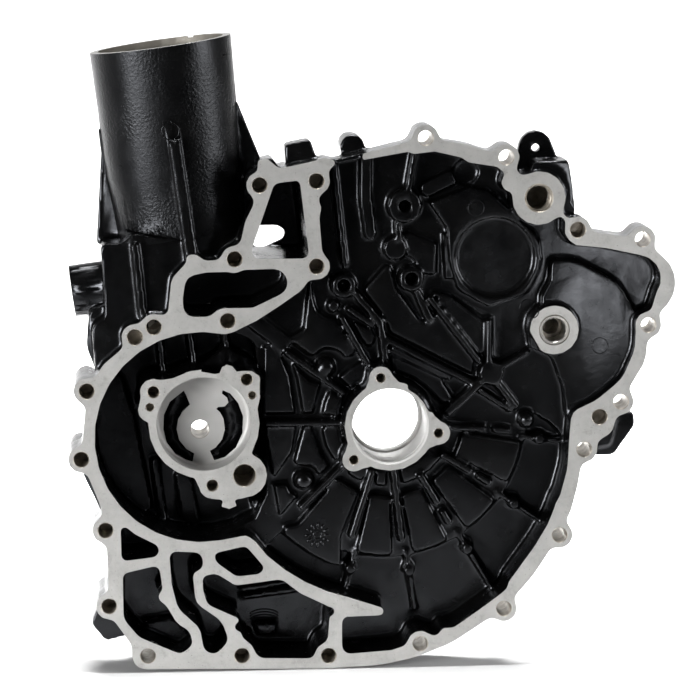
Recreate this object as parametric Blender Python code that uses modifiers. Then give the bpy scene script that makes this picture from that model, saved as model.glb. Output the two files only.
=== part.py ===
"""Engine cover: one aluminium casting with a pressed bush.

Lengths are in millimetres and become metres when a mesh is made. The joint face is the plane y = 0, facing -Y,
and depth runs along +Y into the casting. The origin is on the axis of the crank bore. +Z is up.
"""

import math

import bmesh
import bpy
from mathutils import Matrix, Vector

MM = 0.001
SMOOTHNESS = 0.35  # how far a chord may lie inside its arc

# Depths behind the joint face
FLOOR_DEPTH = 19.0
FLOOR_WALL = 4.0
FLANGE_DEPTH = FLOOR_DEPTH + FLOOR_WALL
WELL_DEPTH = 28.0
POCKET_DEPTH = 46.0
POCKET_WALL = 5.0
GALLERY_DEPTH = 38.0
GALLERY_WALL = 4.0
BOX_DEPTH = 58.0
BOX_WALL = 4.0
OBLONG_DEPTH = 42.0
LEDGE_DEPTH = 9.0
PAD_RISE = 4.5
RIB_RISE = 8.0

# Bolt pattern of the joint face: x, z of each hole
HOLES = {
    "box_left": (-72.5, 136.0),
    "box_right": (-41.0, 138.0),
    "box_foot": (-86.5, 95.0),
    "box_corner": (-41.0, 90.5),
    "crown": (19.5, 161.5),
    "port_left": (64.5, 150.5),
    "ear_top": (141.5, 104.0),
    "ear_right": (145.5, 55.5),
    "neck_right": (130.5, 12.0),
    "side_right": (110.0, -15.0),
    "low_right": (96.5, -64.0),
    "foot_right": (65.0, -106.0),
    "foot": (17.5, -125.5),
    "foot_middle": (-34.5, -131.5),
    "foot_left": (-83.5, -130.5),
    "corner_left": (-136.5, -129.5),
    "low_left": (-158.0, -100.5),
    "side_left": (-159.5, -57.0),
    "pocket_low": (-172.5, -16.5),
    "pocket_high": (-169.0, 22.0),
    "pocket_top": (-131.5, 57.5),
    "gallery_top": (-90.5, 60.5),
}
THROUGH_HOLES = (
    "crown port_left ear_top ear_right neck_right side_right low_right foot_right foot corner_left".split()
)
DOWELS = {"dowel_left": (-142.0, 52.0), "dowel_port": (105.0, 109.5), "dowel_right": (118.5, 3.5)}
BOLT_HOLE = 8.4
BLIND_HOLE_DEPTH = 20.0
THROUGH_HOLE_DEPTH = 60.0
DOWEL_HOLE = 8.6
DOWEL_HOLE_DEPTH = 10.0
BOSS_RADIUS = 7.5
BOSS_FILLET = 4.0
LONG_BOSSES = {"pocket_high": 48.0, "pocket_low": 48.0, "low_left": 48.0, "box_left": 38.0}

# Crank bore and its collar
CRANK_BORE = 42.0
CRANK_LIP_BORE = 38.5
CRANK_BOSS_LENGTH = 37.0
CRANK_LIP_LENGTH = 6.0
COLLAR_RADIUS = 25.3
COLLAR_EARS = (100.8, -9.3, -136.7)
EAR_CIRCLE_RADIUS = 27.8
EAR_RADIUS = 6.6
TAPPED_HOLE = 5.1
TAPPED_HOLE_DEPTH = 16.0
COLLAR_NOTCH = (18.0, 66.0)
COLLAR_NOTCH_DEPTH = 3.0

# Radial pattern of the floor about the crank bore
RIB_WIDTH = 3.2
RIB_BREAKS = (56.0, 60.0)
RIB_END = 69.5
BROKEN_RIBS = {-5.0: 34.5, -31.7: 35.5, -59.0: 35.0}
WHOLE_RIBS = {-83.4: 27.0, -107.5: 28.0, -135.3: 34.0, 179.8: 25.5}
OUTER_RIBS = {-7.8: 101.0, -34.0: 108.0, -58.4: 119.0, -81.6: 112.0, -103.6: 102.0}
DISC_CIRCLE_RADIUS = 88.0
DISC_RADIUS = 3.1
PAD_RINGS = ((28.0, 37.0), (43.0, 77.5))
PAD_ANGLES = ((-28.0, -9.5), (-54.0, -37.0), (-79.0, -63.5), (-103.0, -88.0), (-131.0, -112.0))
WELL_RADIUS = 100.0
WELL_INNER_RADIUS = 80.0
WELL_DRAFT = 0.996

# Oil pump housing in the left pocket
PUMP_CENTRE = (-104.0, 2.0)
PUMP_FACE_DEPTH = 3.0
PUMP_BODY_RADIUS = 31.0
PUMP_POCKET_RADIUS = 26.5
PUMP_POCKET_DEPTH = 18.0
PUMP_POCKET_FILLET = 3.4
PUMP_SHAFT_CENTRE = (-106.0, 2.0)
PUMP_SHAFT_HOLE = 10.3
PUMP_SHAFT_WALL = 8.0
PUMP_HUB_RADIUS = 13.2
PUMP_PORT_RADIUS = 22.2
PUMP_PORT_DEPTH = 18.0
PUMP_PORTS = {"suction_port": (122.0, 238.0), "pressure_port": (44.0, -58.0)}
PUMP_PORT_FLOOR = PUMP_FACE_DEPTH + PUMP_POCKET_DEPTH + PUMP_PORT_DEPTH
PUMP_SCREWS = ((-132.0, 20.5), (-80.0, 27.0), (-99.5, -33.0))
PUMP_SCREW_HOLE = 6.4
PUMP_DOWELS = ((-134.0, 12.0), (-77.0, 18.0))
PUMP_DOWEL_HOLE = 4.3
PUMP_OUTLET = (-81.5, -27.5)
PUMP_OUTLET_BORE = 12.4

# Idler boss and its pressed bush
IDLER_CENTRE = (92.5, 53.0)
IDLER_BOSS_RADIUS = 13.8
IDLER_FACE_DEPTH = 1.5
IDLER_CUT_DISTANCE = 12.4
BUSH_RADIUS = 8.7
BUSH_BORE_RADIUS = 6.6
BUSH_LENGTH = 16.0
BUSH_CHAMFER = 0.5
PRESS_GAP = 0.3
IDLER_TAIL_BORE_RADIUS = 4.8
IDLER_BOSS_LENGTH = 40.0

# Cross-drilled port at the upper right
PORT_CENTRE = (83.0, 127.5)
PORT_BOSS_RADIUS = 15.0
PORT_BORE = 14.7
PORT_DEPTH = 26.0
PORT_SIDE_BORE = 12.0
PORT_SIDE_DEPTH = 13.0

# Filler tube and side spout, whose axes lie square to each other in one plane
TUBE_LEAN = 7.7
TUBE_DEPTH = 42.0
TUBE_FOOT = (-109.0, 93.85)
TUBE_RIM_RADIUS = 39.1
TUBE_FOOT_RADIUS = 33.0
TUBE_LENGTH = 118.0
TUBE_WALL = 4.2
TUBE_NOTCH = 3.0
SPOUT_ROOT = (-140.8, 77.8)
SPOUT_DEPTH = 38.0
SPOUT_RADIUS = 14.6
SPOUT_LENGTH = 36.0
SPOUT_BORE_RADIUS = 10.0


# Outlines in the plane of the joint face


def arc(centre, radius, start, end):
    """Points along an arc, both ends included, angles in degrees."""
    step = 2 * math.degrees(math.acos(max(0.0, 1 - SMOOTHNESS / radius)))
    count = max(1, math.ceil(abs(end - start) / min(step, 90.0) - 0.01))
    angles = [math.radians(start + (end - start) * i / count) for i in range(count + 1)]
    return [(centre[0] + radius * math.cos(a), centre[1] + radius * math.sin(a)) for a in angles]


def swept_arc(centre, start, end):
    """Points from start to end round the centre, the short way."""
    first = math.degrees(math.atan2(start[1] - centre[1], start[0] - centre[0]))
    last = math.degrees(math.atan2(end[1] - centre[1], end[0] - centre[0]))
    turn = (last - first + 180) % 360 - 180
    return arc(centre, math.dist(centre, start), first, first + turn)


def rounded_corner(before, corner, after, radius):
    """The arc that rounds a corner between two straight runs."""
    back = Vector(before) - Vector(corner)
    ahead = Vector(after) - Vector(corner)
    half = back.angle(ahead, math.pi) / 2
    if radius <= 0 or half > math.radians(89):
        return [corner]
    reach = min(radius / math.tan(half), back.length * 0.49, ahead.length * 0.49)
    radius = reach * math.tan(half)
    start = Vector(corner) + back.normalized() * reach
    end = Vector(corner) + ahead.normalized() * reach
    middle = Vector(corner) + (back.normalized() + ahead.normalized()).normalized() * radius / math.sin(half)
    return swept_arc(tuple(middle), tuple(start), tuple(end))


def left_of(direction):
    return Vector((-direction.y, direction.x))


def foot_fillet(start, direction, centre, radius, fillet):
    """Fillet between a wall, given by a point and its direction, and a boss further along it.

    The fillet lies to the left of the wall. Returns its centre, its foot on the wall and its end on the boss.
    """
    reach = centre - start
    aside = left_of(direction).dot(reach)
    span = math.sqrt(max(0.0, (radius + fillet) ** 2 - (fillet - aside) ** 2))
    foot = start + direction * (direction.dot(reach) - span)
    middle = foot + left_of(direction) * fillet
    return middle, foot, centre + (middle - centre) * radius / (radius + fillet)


def valley(first, second, fillet):
    """Centre of a fillet that touches two neighbouring bosses (centre, radius) on the left of the line between."""
    along = second[0] - first[0]
    near, far, gap = first[1] + fillet, second[1] + fillet, along.length
    ahead = (near**2 - far**2 + gap**2) / (2 * gap)
    return first[0] + along.normalized() * ahead + left_of(along.normalized()) * math.sqrt(near**2 - ahead**2)


def mirrored(point):
    return Vector((-point[0], point[1]))


def boss_side(walls, boss, neighbour):
    """Points that lead up to a boss, the last one on its circle.

    The walls are the two stops before it. A corner within the boss's reach only gives the wall's direction.
    """
    _, x, z, radius, fillet = boss
    centre = Vector((x, z))
    shared = min(fillet, neighbour[4]) if neighbour else 0
    if neighbour and math.dist(neighbour[1:3], (x, z)) < neighbour[3] + radius + 2 * shared:
        fillet = shared
        middle = valley((Vector(neighbour[1:3]), neighbour[3]), (centre, radius), fillet)
        other = Vector(neighbour[1:3])
        lowest = middle + ((other - middle).normalized() + (centre - middle).normalized()).normalized() * fillet
        return swept_arc(tuple(middle), tuple(lowest), tuple(middle + (centre - middle).normalized() * fillet))
    far, near = Vector(walls[0]), Vector(walls[1])
    if (centre - near).length < radius + fillet:
        start, direction = far, (near - far).normalized()
    else:
        start, direction = near, (centre - near).normalized()
    middle, foot, end = foot_fillet(start, direction, centre, radius, fillet)
    return swept_arc(tuple(middle), tuple(foot), tuple(end))


def end_points(stop):
    """First and last point of a stop of an outline, a boss or a corner being a single point."""
    if stop[0] == "arc":
        run = arc(stop[1:3], *stop[3:])
        return run[0], run[-1]
    point = stop[1:3] if stop[0] == "boss" else stop[:2]
    return point, point


def within_boss(corner, boss):
    return boss[0] == "boss" and math.dist(corner[:2], boss[1:3]) < boss[3] + boss[4]


def outline(path):
    """Points of a closed outline.

    The path holds corners (x, z) or (x, z, rounding), names of bolt bosses, bosses ("boss", x, z, radius, fillet)
    and arcs ("arc", x, z, radius, start, end). Bosses bulge to the left of the path.
    """
    centres = HOLES | DOWELS
    stops = [("boss", *centres[item], BOSS_RADIUS, BOSS_FILLET) if isinstance(item, str) else item for item in path]
    ends = [end_points(stop) for stop in stops]
    points = []
    count = len(stops)
    for i, stop in enumerate(stops):
        before, after = stops[i - 1], stops[(i + 1) % count]
        if stop[0] == "arc":
            points += arc(stop[1:3], *stop[3:])
        elif stop[0] == "boss":
            rise = boss_side((ends[i - 2][1], ends[i - 1][1]), stop, before if before[0] == "boss" else None)
            walls = (mirrored(ends[(i + 2) % count][0]), mirrored(ends[(i + 1) % count][0]))
            neighbour = ("boss", -after[1], *after[2:]) if after[0] == "boss" else None
            fall = boss_side(walls, ("boss", -stop[1], *stop[2:]), neighbour)
            fall = [(-x, z) for x, z in reversed(fall)]
            centre = stop[1:3]
            start = math.degrees(math.atan2(rise[-1][1] - centre[1], rise[-1][0] - centre[0]))
            end = math.degrees(math.atan2(fall[0][1] - centre[1], fall[0][0] - centre[0]))
            points += rise + arc(centre, stop[3], start, start - (start - end) % 360)[1:-1] + fall
        elif not any(within_boss(stop, side) for side in (before, after)):
            rounding = stop[2] if len(stop) > 2 else 0.0
            points += rounded_corner(ends[i - 1][1], stop[:2], ends[(i + 1) % count][0], rounding)
    return [point for i, point in enumerate(points) if math.dist(point, points[i - 1]) > 0.02]


def sector(inner, outer, start, end, rounding=2.0):
    """A pad between two radii and two angles about the origin."""
    corners = [on_circle(inner, start), on_circle(outer, start)]
    corners += arc((0, 0), outer, start, end)[1:-1]
    corners += [on_circle(outer, end), on_circle(inner, end)]
    corners += arc((0, 0), inner, end, start)[1:-1]
    return outline([(*corner, rounding) for corner in corners])


def on_circle(radius, angle):
    return radius * math.cos(math.radians(angle)), radius * math.sin(math.radians(angle))


def bar(start, end, width, rounding=0.0):
    """A straight rib seen from the front."""
    start, end = Vector(start), Vector(end)
    across = (end - start).normalized().orthogonal() * width / 2
    corners = [start + across, end + across, end - across, start - across]
    return outline([(*corner, rounding) for corner in corners])


# Solids


def clear_scene():
    for existing in list(bpy.data.objects):
        bpy.data.objects.remove(existing, do_unlink=True)


def new_collection(name, helper=False):
    collection = bpy.data.collections.new(name)
    bpy.context.scene.collection.children.link(collection)
    collection.hide_render = helper
    return collection


def keep(collection, mesh, name):
    """Puts a mesh in a collection of shapes that later join or cut the casting."""
    shape = bpy.data.objects.new(name, mesh)
    collection.objects.link(shape)
    if collection.hide_render:
        shape.hide_render = True
        shape.display_type = "WIRE"
    return shape


def prism(collection, name, outlines, front, back):
    """Closed outlines filled as a flat curve and extruded from one depth to another. Inner outlines are holes."""
    curve = bpy.data.curves.new(name, "CURVE")
    curve.dimensions = "2D"
    curve.fill_mode = "BOTH"
    curve.extrude = (back - front) / 2 * MM
    for points in outlines if isinstance(outlines[0], list) else [outlines]:
        spline = curve.splines.new("POLY")
        spline.points.add(len(points) - 1)
        for point, (x, z) in zip(spline.points, points):
            point.co = (x * MM, z * MM, 0, 1)
        spline.use_cyclic_u = True
    drawing = bpy.data.objects.new(name, curve)
    bpy.context.scene.collection.objects.link(drawing)
    bpy.context.view_layer.update()
    mesh = bpy.data.meshes.new_from_object(drawing.evaluated_get(bpy.context.evaluated_depsgraph_get()))
    bpy.data.objects.remove(drawing)
    place = Matrix.Translation((0, (front + back) / 2 * MM, 0)) @ Matrix.Rotation(math.pi / 2, 4, "X")
    form = bmesh.new()
    form.from_mesh(mesh)
    bmesh.ops.remove_doubles(form, verts=form.verts, dist=1e-6)
    bmesh.ops.transform(form, matrix=place, verts=form.verts)
    bmesh.ops.recalc_face_normals(form, faces=form.faces)
    form.to_mesh(mesh)
    form.free()
    return keep(collection, mesh, name)


def along_depth(centre, depth=0.0):
    """Places a shape turned about its local Z so that Z runs into the casting from a point of the joint face."""
    place = Matrix.Translation(Vector((centre[0], depth, centre[1])) * MM)
    return place @ Matrix.Rotation(-math.pi / 2, 4, "X")


def turned(collection, name, profile, place):
    """A closed turned solid: a profile of (radius, height) pairs from the axis out and back, spun about Z."""
    mesh = bpy.data.meshes.new(name)
    mesh.from_pydata([(r * MM, 0, h * MM) for r, h in profile], [(i, i + 1) for i in range(len(profile) - 1)], [])
    helper = bpy.data.objects.new(name, mesh)
    bpy.context.scene.collection.objects.link(helper)
    screw = helper.modifiers.new("Turn", "SCREW")
    widest = max(r for r, _ in profile)
    steps = max(8, 4 * math.ceil(math.pi / math.acos(1 - SMOOTHNESS / widest) / 4))
    screw.steps = screw.render_steps = steps
    screw.use_merge_vertices = True
    screw.merge_threshold = 1e-5
    bpy.context.view_layer.update()
    solid = bpy.data.meshes.new_from_object(helper.evaluated_get(bpy.context.evaluated_depsgraph_get()))
    bpy.data.objects.remove(helper)
    form = bmesh.new()
    form.from_mesh(solid)
    bmesh.ops.remove_doubles(form, verts=form.verts, dist=1e-6)
    bmesh.ops.transform(form, matrix=place, verts=form.verts)
    bmesh.ops.recalc_face_normals(form, faces=form.faces)
    form.to_mesh(solid)
    form.free()
    return keep(collection, solid, name)


def rod(collection, name, centre, radius, front, back, top_radius=None):
    """A round boss or bore along the depth, tapering to top_radius at its front if one is given."""
    front_radius = radius if top_radius is None else top_radius
    profile = [(0, back - front), (radius, back - front), (front_radius, 0), (0, 0)]
    return turned(collection, name, profile, along_depth(centre, front))


def merge_flat_faces(mesh):
    """Joins the flat pieces of one face that a Boolean leaves behind."""
    form = bmesh.new()
    form.from_mesh(mesh)
    bmesh.ops.dissolve_limit(form, angle_limit=math.radians(0.4), verts=form.verts, edges=form.edges)
    form.to_mesh(mesh)
    form.free()


def apply_boolean(target, collection, operation):
    """Joins a collection's shapes to the target, or cuts them from it."""
    modifier = target.modifiers.new(operation.title(), "BOOLEAN")
    modifier.operation = operation
    modifier.operand_type = "COLLECTION"
    modifier.collection = collection
    modifier.solver = "MANIFOLD"
    bpy.context.view_layer.update()
    mesh = bpy.data.meshes.new_from_object(target.evaluated_get(bpy.context.evaluated_depsgraph_get()))
    target.modifiers.remove(modifier)
    old = target.data
    target.data = mesh
    bpy.data.meshes.remove(old)
    merge_flat_faces(mesh)


# The casting's outer forms

LOWER_RIM = [
    "side_right", (106.5, -35.5, 12.0), (103.0, -49.5, 10.0),
    "low_right", (82.0, -86.5, 30.0),
    "foot_right", (35.0, -125.5, 30.0), (14.0, -133.5, 40.0), (-5.5, -137.5, 40.0), (-38.0, -138.8, 20.0),
]
LEFT_RIM = [
    (-145.0, -137.0, 7.5), (-145.5, -123.0, 5.0), (-156.5, -107.0, 4.0),
    "low_left", (-158.5, -77.5, 5.0),
    "side_left", (-162.5, -42.0, 5.0),
]
JOINT_OUTLINE = [
    "box_left", (-36.5, 151.0, 0.6), (-31.5, 149.5, 0.6), (-25.0, 150.5, 2.0), (-15.5, 153.0, 2.0),
    "crown", (43.5, 157.5, 10.0),
    "port_left", ("boss", *PORT_CENTRE, PORT_BOSS_RADIUS, BOSS_FILLET),
    "dowel_port", "ear_top", ("arc", 141.5, 79.0, 19.0, 52.0, -38.0), "ear_right", (144.5, 35.5, 12.0),
    "neck_right", (125.5, -5.5, 4.0), *LOWER_RIM, *LEFT_RIM,
    "pocket_low", "pocket_high", (-159.5, 37.0, 6.0), (-150.5, 44.5, 2.0),
    "dowel_left", "pocket_top", (-123.5, 66.0, 2.5), (-121.5, 84.5, 6.0), (-113.5, 93.0, 3.0),
    (-112.0, 97.0, 2.5), (-106.5, 97.0, 2.5), (-103.0, 94.3, 3.0), (-95.5, 94.5, 3.0),
    "box_foot", (-83.0, 105.0, 3.0), (-80.5, 116.0, 3.0), (-76.5, 124.0, 2.0),
]
LOWER_WALL = [
    ("arc", 0.0, 0.0, 100.6, 226.5, 257.0), (-3.2, -104.6, 2.2), (-3.7, -109.0, 2.2),
    (-27.0, -109.5, 2.5), (-27.0, -130.8, 4.5), (1.0, -129.0, 3.0), (9.0, -126.5, 2.0),
    "foot", (27.0, -122.3, 1.5), (30.0, -116.8, 1.5), (36.5, -116.5, 2.0), (49.5, -107.5, 20.0),
    (60.5, -99.5, 4.0), (66.5, -94.8, 1.5), (67.8, -90.5, 1.5), (82.5, -70.0, 20.0), (89.5, -58.0, 10.0),
    (92.8, -50.0, 1.5), (94.2, -45.5, 1.5), (96.5, -41.5, 3.0), (100.5, -26.0, 20.0), (101.5, -7.5, 20.0),
]
CAVITY_OUTLINE = [
    ("arc", -105.5, -5.0, 59.6, 77.0, 280.0), (-80.5, -61.0, 3.0), (-75.5, -65.0, 3.0), *LOWER_WALL,
    (102.5, 6.5, 7.0), (116.5, 13.0, 15.0), (131.0, 25.0, 18.0), (138.0, 41.5, 12.0), (138.3, 49.0, 3.0),
    ("boss", *HOLES["ear_right"], 7.6, 3.0), (147.5, 65.5, 6.0),
    ("arc", 138.5, 81.5, 13.8, -35.0, 85.0), (121.0, 99.2, 5.0), (108.0, 100.6, 4.0),
    "dowel_port", ("boss", *PORT_CENTRE, PORT_BOSS_RADIUS, 2.5), (64.0, 132.0, 1.5), (61.5, 136.0, 2.0),
    (64.0, 141.5, 2.0), (59.5, 145.2, 2.0), (43.5, 147.7, 3.0), (39.5, 150.5, 3.0), (24.5, 154.0, 3.0),
    (12.0, 152.5, 2.0), (10.5, 154.0, 1.0), (-15.5, 149.5, 1.0), (-31.0, 147.0, 1.5),
    "box_right", (-40.3, 127.5, 1.5), (-38.3, 123.5, 1.2), (-39.5, 118.0, 3.0), (-38.0, 98.5, 2.0),
    "box_corner", (-49.0, 77.5, 8.0), (-62.0, 68.5, 10.0), (-74.5, 60.5, 10.0), (-87.5, 54.2, 3.0),
]
WELL_BODY = [
    ("arc", 0.0, 0.0, WELL_INNER_RADIUS - 4.0, -138.0, 6.0), (105.5, 6.0), *LOWER_RIM[:-1], (-30.0, -138.3),
    (-30.0, -112.0), ("arc", 0.0, 0.0, WELL_RADIUS + 4.2, -108.0, -138.0),
]
GALLERY_BLOCK = [
    (-76.0, -58.0, 6.0), (-58.0, -80.0, 10.0), (-27.0, -101.5, 4.0), (-27.0, -138.6), *LEFT_RIM, (-155.0, -42.0),
]
BOX_BLOCK = [
    (-81.5, 91.0, 5.0), (-68.5, 141.0, 5.0), (-46.5, 145.0, 5.0), (-39.5, 140.0, 5.0), (-38.5, 91.0, 5.0),
]
OBLONG_BLOCK = [
    (-119.0, 58.5, 6.0), (-119.0, 88.0, 8.0), (-92.0, 93.5, 4.0), (-52.0, 93.5, 8.0), (-50.0, 72.0, 8.0),
    (-70.0, 62.0, 8.0),
]
BOX_WINDOW = [(-64.5, 136.5, 3.0), (-50.5, 140.0, 3.0), (-45.0, 95.0, 3.0), (-76.5, 95.0, 3.5), (-77.0, 100.5, 3.0)]
BOX_SIGHT_HOLE = [
    (-73.5, 107.0, 2.0), (-59.5, 107.0, 3.0), (-55.2, 104.0, 2.0), (-55.7, 99.5, 2.0), (-67.0, 94.5, 3.0),
    (-73.5, 94.5, 2.0),
]
OBLONG_CAVITY = [
    (-115.5, 72.5, 8.0), (-113.5, 85.5, 6.0), (-102.5, 87.8, 6.0), (-90.5, 88.0, 2.5), (-86.5, 87.0, 3.0),
    (-81.5, 89.0, 3.0), (-59.0, 89.5, 9.0), (-56.0, 77.5, 7.0), (-76.5, 67.7, 4.0), (-95.0, 67.7, 5.0),
    (-100.5, 63.0, 4.0), (-114.5, 63.0, 8.0),
]
GALLERIES = (
    [(-151.2, -52.5, 2.0), (-143.0, -59.5, 6.0), (-129.5, -66.5, 3.5), (-130.5, -72.5, 3.0), (-150.8, -74.8, 2.5)],
    [(-150.2, -81.8, 3.0), (-129.8, -77.3, 3.0), (-127.8, -92.0, 2.0), (-130.5, -94.0, 2.0), (-129.8, -97.5, 2.0),
     (-126.0, -100.5, 5.0), (-120.0, -111.0, 8.0), (-113.0, -115.5, 4.0), (-111.0, -123.5, 4.0),
     (-118.0, -129.0, 4.5), (-141.5, -118.5, 5.0), (-150.0, -108.0, 8.0)],
    [(-124.2, -69.5, 3.0), (-106.0, -70.5, 4.0), (-104.7, -79.5, 4.0), (-111.0, -82.2, 3.0), (-109.5, -99.5, 8.0),
     (-95.0, -110.0, 8.0), (-90.8, -121.5, 5.0), (-98.5, -130.0, 6.0), (-105.0, -127.0, 5.0), (-107.3, -114.0, 6.0),
     (-119.5, -102.5, 8.0), (-122.8, -89.0, 8.0)],
    [(-99.7, -71.2, 3.0), (-81.0, -67.2, 3.0), (-70.0, -80.5, 3.0), (-74.0, -83.5, 3.0), (-86.5, -84.7, 3.0),
     (-97.5, -76.5, 3.0)],
    [(-105.7, -83.8, 3.0), (-97.5, -82.8, 4.0), (-87.0, -89.8, 3.0), (-61.0, -86.6, 4.0), (-50.5, -95.0, 6.0),
     (-35.0, -102.6, 1.0), ("boss", -33.8, -105.8, 2.8, 0.6), (-35.0, -122.5, 4.0), (-41.0, -126.5, 4.0),
     (-43.5, -132.8, 3.0), (-74.5, -132.0, 5.0), (-78.0, -124.5, 4.0), (-83.3, -120.0, 3.0),
     ("boss", -85.0, -113.6, 2.8, 0.6), (-85.0, -109.0, 2.0), (-103.0, -100.5, 5.0), (-105.3, -92.0, 6.0)],
)
WELL_OUTLINE = [*LOWER_WALL, ("arc", 0.0, 0.0, WELL_INNER_RADIUS, 4.0, -133.0)]
LEFT_POCKET = [
    ("arc", -105.5, -5.0, 59.2, 64.0, 301.0), (-68.0, -40.0, 4.0), (-70.5, 8.0, 6.0), (-74.0, 44.0, 6.0),
]
IDLER_LEDGE = [
    (92.0, 91.5, 2.0), (106.0, 91.0, 12.0), (129.5, 79.0, 20.0), (142.0, 58.0, 6.0), (145.0, 40.0, 8.0),
    (136.0, 20.0, 12.0), (118.0, 6.0, 10.0), (106.0, 0.0, 3.0), (101.0, 2.0, 1.0), (99.5, 18.0, 10.0),
    (93.0, 36.0, 4.0), (80.0, 42.0, 3.0), (80.0, 52.0, 3.0), (88.0, 62.0, 4.0), (86.0, 69.5, 3.0),
    (91.5, 80.0, 8.0),
]
LEDGE_CORE = [
    (110.0, 84.0, 5.0), (127.0, 74.0, 10.0), (137.0, 56.0, 6.0), (138.0, 42.0, 8.0), (130.0, 24.0, 10.0),
    (117.0, 14.0, 6.0), (107.0, 10.0, 3.0), (104.0, 26.0, 10.0), (106.0, 44.0, 3.0), (110.0, 53.0, 3.0),
    (106.0, 66.0, 3.0),
]
SHOULDER = [
    (-160.5, 103.0, 3.0), (-147.0, 104.0, 3.0), (-143.0, 109.0, 3.0), (-112.0, 104.0, 4.0), (-104.0, 92.0, 6.0),
    (-110.0, 60.0, 6.0), (-130.0, 50.0, 6.0), (-150.0, 32.0, 6.0), (-164.0, 30.0, 5.0), (-166.0, 58.0, 8.0),
    (-158.0, 62.0, 4.0),
]
SHOULDER_CORE = [
    (-154.0, 97.0, 3.0), (-137.0, 97.0, 2.0), (-134.0, 106.0, 2.0), (-114.0, 106.0, 2.0), (-112.0, 92.0, 6.0),
    (-116.0, 66.0, 6.0), (-132.0, 56.0, 6.0), (-150.0, 40.0, 5.0), (-158.0, 40.0, 4.0), (-160.0, 60.0, 4.0),
    (-152.0, 66.0, 4.0),
]
SPOUT_NECK = [
    (-167.0, 66.0, 6.0), (-169.0, 44.0, 8.0), (-163.0, 28.0, 6.0), (-140.0, 26.0, 4.0), (-140.0, 70.0, 4.0),
]

# Parts of the pump housing
PUMP_RIGHT_SIDE = [
    (-104.0, 32.0), (-90.0, 41.0, 3.0), (-77.0, 34.5, 4.0), (-72.8, 27.0, 3.0), (-72.8, 16.0, 4.0),
    (-76.0, 2.0, 10.0), (-76.5, -16.0, 4.0), (-104.0, -16.0),
]
PUMP_LEFT_SIDE = [
    (-110.0, 30.0), (-126.0, 27.5, 3.0), (-137.0, 27.0, 5.0), (-139.5, 16.0, 4.0), (-139.5, 6.0, 4.0),
    (-128.0, 4.0, 3.0), (-110.0, 0.0),
]
PUMP_FOOT = [
    (-104.0, -20.0), (-78.0, -14.0), (-72.0, -36.0, 8.0), (-82.0, -40.5, 4.0), (-90.0, -41.5, 1.0),
    (-100.5, -40.5, 5.0), (-107.5, -33.0, 3.0), (-110.0, -27.0, 3.0),
]

# Raised fields of the floor and of the left pocket
INNER_PAD_ANGLES = (
    (-76.0, -36.0), (-101.0, -91.5), (-127.0, -113.0), (-174.0, -143.0), (114.0, 137.0), (152.0, 173.0),
)
FLOOR_FIELDS = {
    "top_left": [
        (-43.5, 84.0), (-42.5, 72.0, 2.0), (-40.5, 64.0, 3.0), (-35.5, 60.0, 3.0), (-30.0, 59.0, 2.0),
        (-17.5, 38.5, 2.0), (-24.0, 37.0), (-27.0, 41.0, 4.0), (-36.0, 43.0, 4.0), (-42.0, 37.5, 2.0),
        (-56.5, 48.0), (-47.0, 53.0, 2.0),
    ],
    "wedge": [(-19.5, 57.0), (-9.0, 52.0), (-7.0, 48.0), (-10.0, 41.0, 2.0), (-15.0, 48.0)],
    "crown": [
        (-13.5, 75.0, 2.0), (1.0, 91.0, 2.0), (2.5, 84.0, 2.0), (5.0, 75.0, 2.0), (18.0, 57.0, 3.0),
        (24.0, 55.5, 3.0), (28.0, 62.5, 2.0), (48.5, 38.5, 2.0), (48.0, 26.5), (2.0, 50.5), (-1.5, 59.0, 3.0),
    ],
    "long": [(25.5, 73.5), (35.5, 70.8, 2.0), (54.5, 56.5), (54.0, 38.0), (51.0, 39.0)],
    "square": [
        (7.5, 106.0), (12.0, 107.0), (27.5, 100.5), (27.0, 83.5), (21.5, 83.5, 2.0), (14.0, 92.5, 3.0),
        (10.5, 94.5, 3.0),
    ],
    "strip": [(31.0, 106.0), (36.0, 100.5), (35.5, 90.0, 2.0), (38.0, 81.0), (32.5, 81.0)],
    "left_ring": [(-70.0, 45.0, 2.0), (-62.0, 42.0), (-55.5, 26.0, 3.0), (-52.5, 5.5), (-70.0, 5.5)],
    "left_high": [
        (-53.0, 33.0), (-44.5, 23.5, 2.0), (-38.0, 22.0), (-42.5, 5.5), (-47.5, 5.5), (-50.5, 24.0, 3.0),
    ],
    "left_low": [(-69.0, -3.5), (-52.0, -3.5), (-54.5, -17.0, 3.0), (-64.5, -31.5)],
    "left_mid": [
        (-47.5, -3.5), (-43.0, -3.5), (-37.5, -18.5, 2.0), (-33.5, -25.0), (-38.5, -30.5), (-42.0, -25.0, 3.0),
        (-53.0, -24.0, 2.0),
    ],
    "left_foot": [(-64.0, -36.0), (-57.5, -35.0), (-55.5, -40.0, 2.0), (-51.5, -42.5), (-61.0, -53.5)],
    "crescent": [
        (1.5, 39.0), (6.0, 36.5, 3.0), (18.5, 32.5, 6.0), (30.0, 24.0, 6.0), (37.0, 12.5), (31.5, 9.5),
        (21.5, 20.0, 8.0), (13.0, 25.5, 8.0), (3.5, 28.5),
    ],
}
RECESS_FIELD = [
    (23.5, 124.0), (45.5, 132.5, 3.0), (56.0, 130.5, 3.0), (66.0, 122.0, 3.0), (74.0, 113.5, 4.0),
    (84.5, 104.0, 5.0), (86.5, 88.0, 8.0), (79.0, 72.5, 8.0), (57.0, 65.0, 6.0), (39.5, 75.0, 6.0),
    (34.5, 92.0, 4.0), (33.0, 110.0, 2.0),
]
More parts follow.
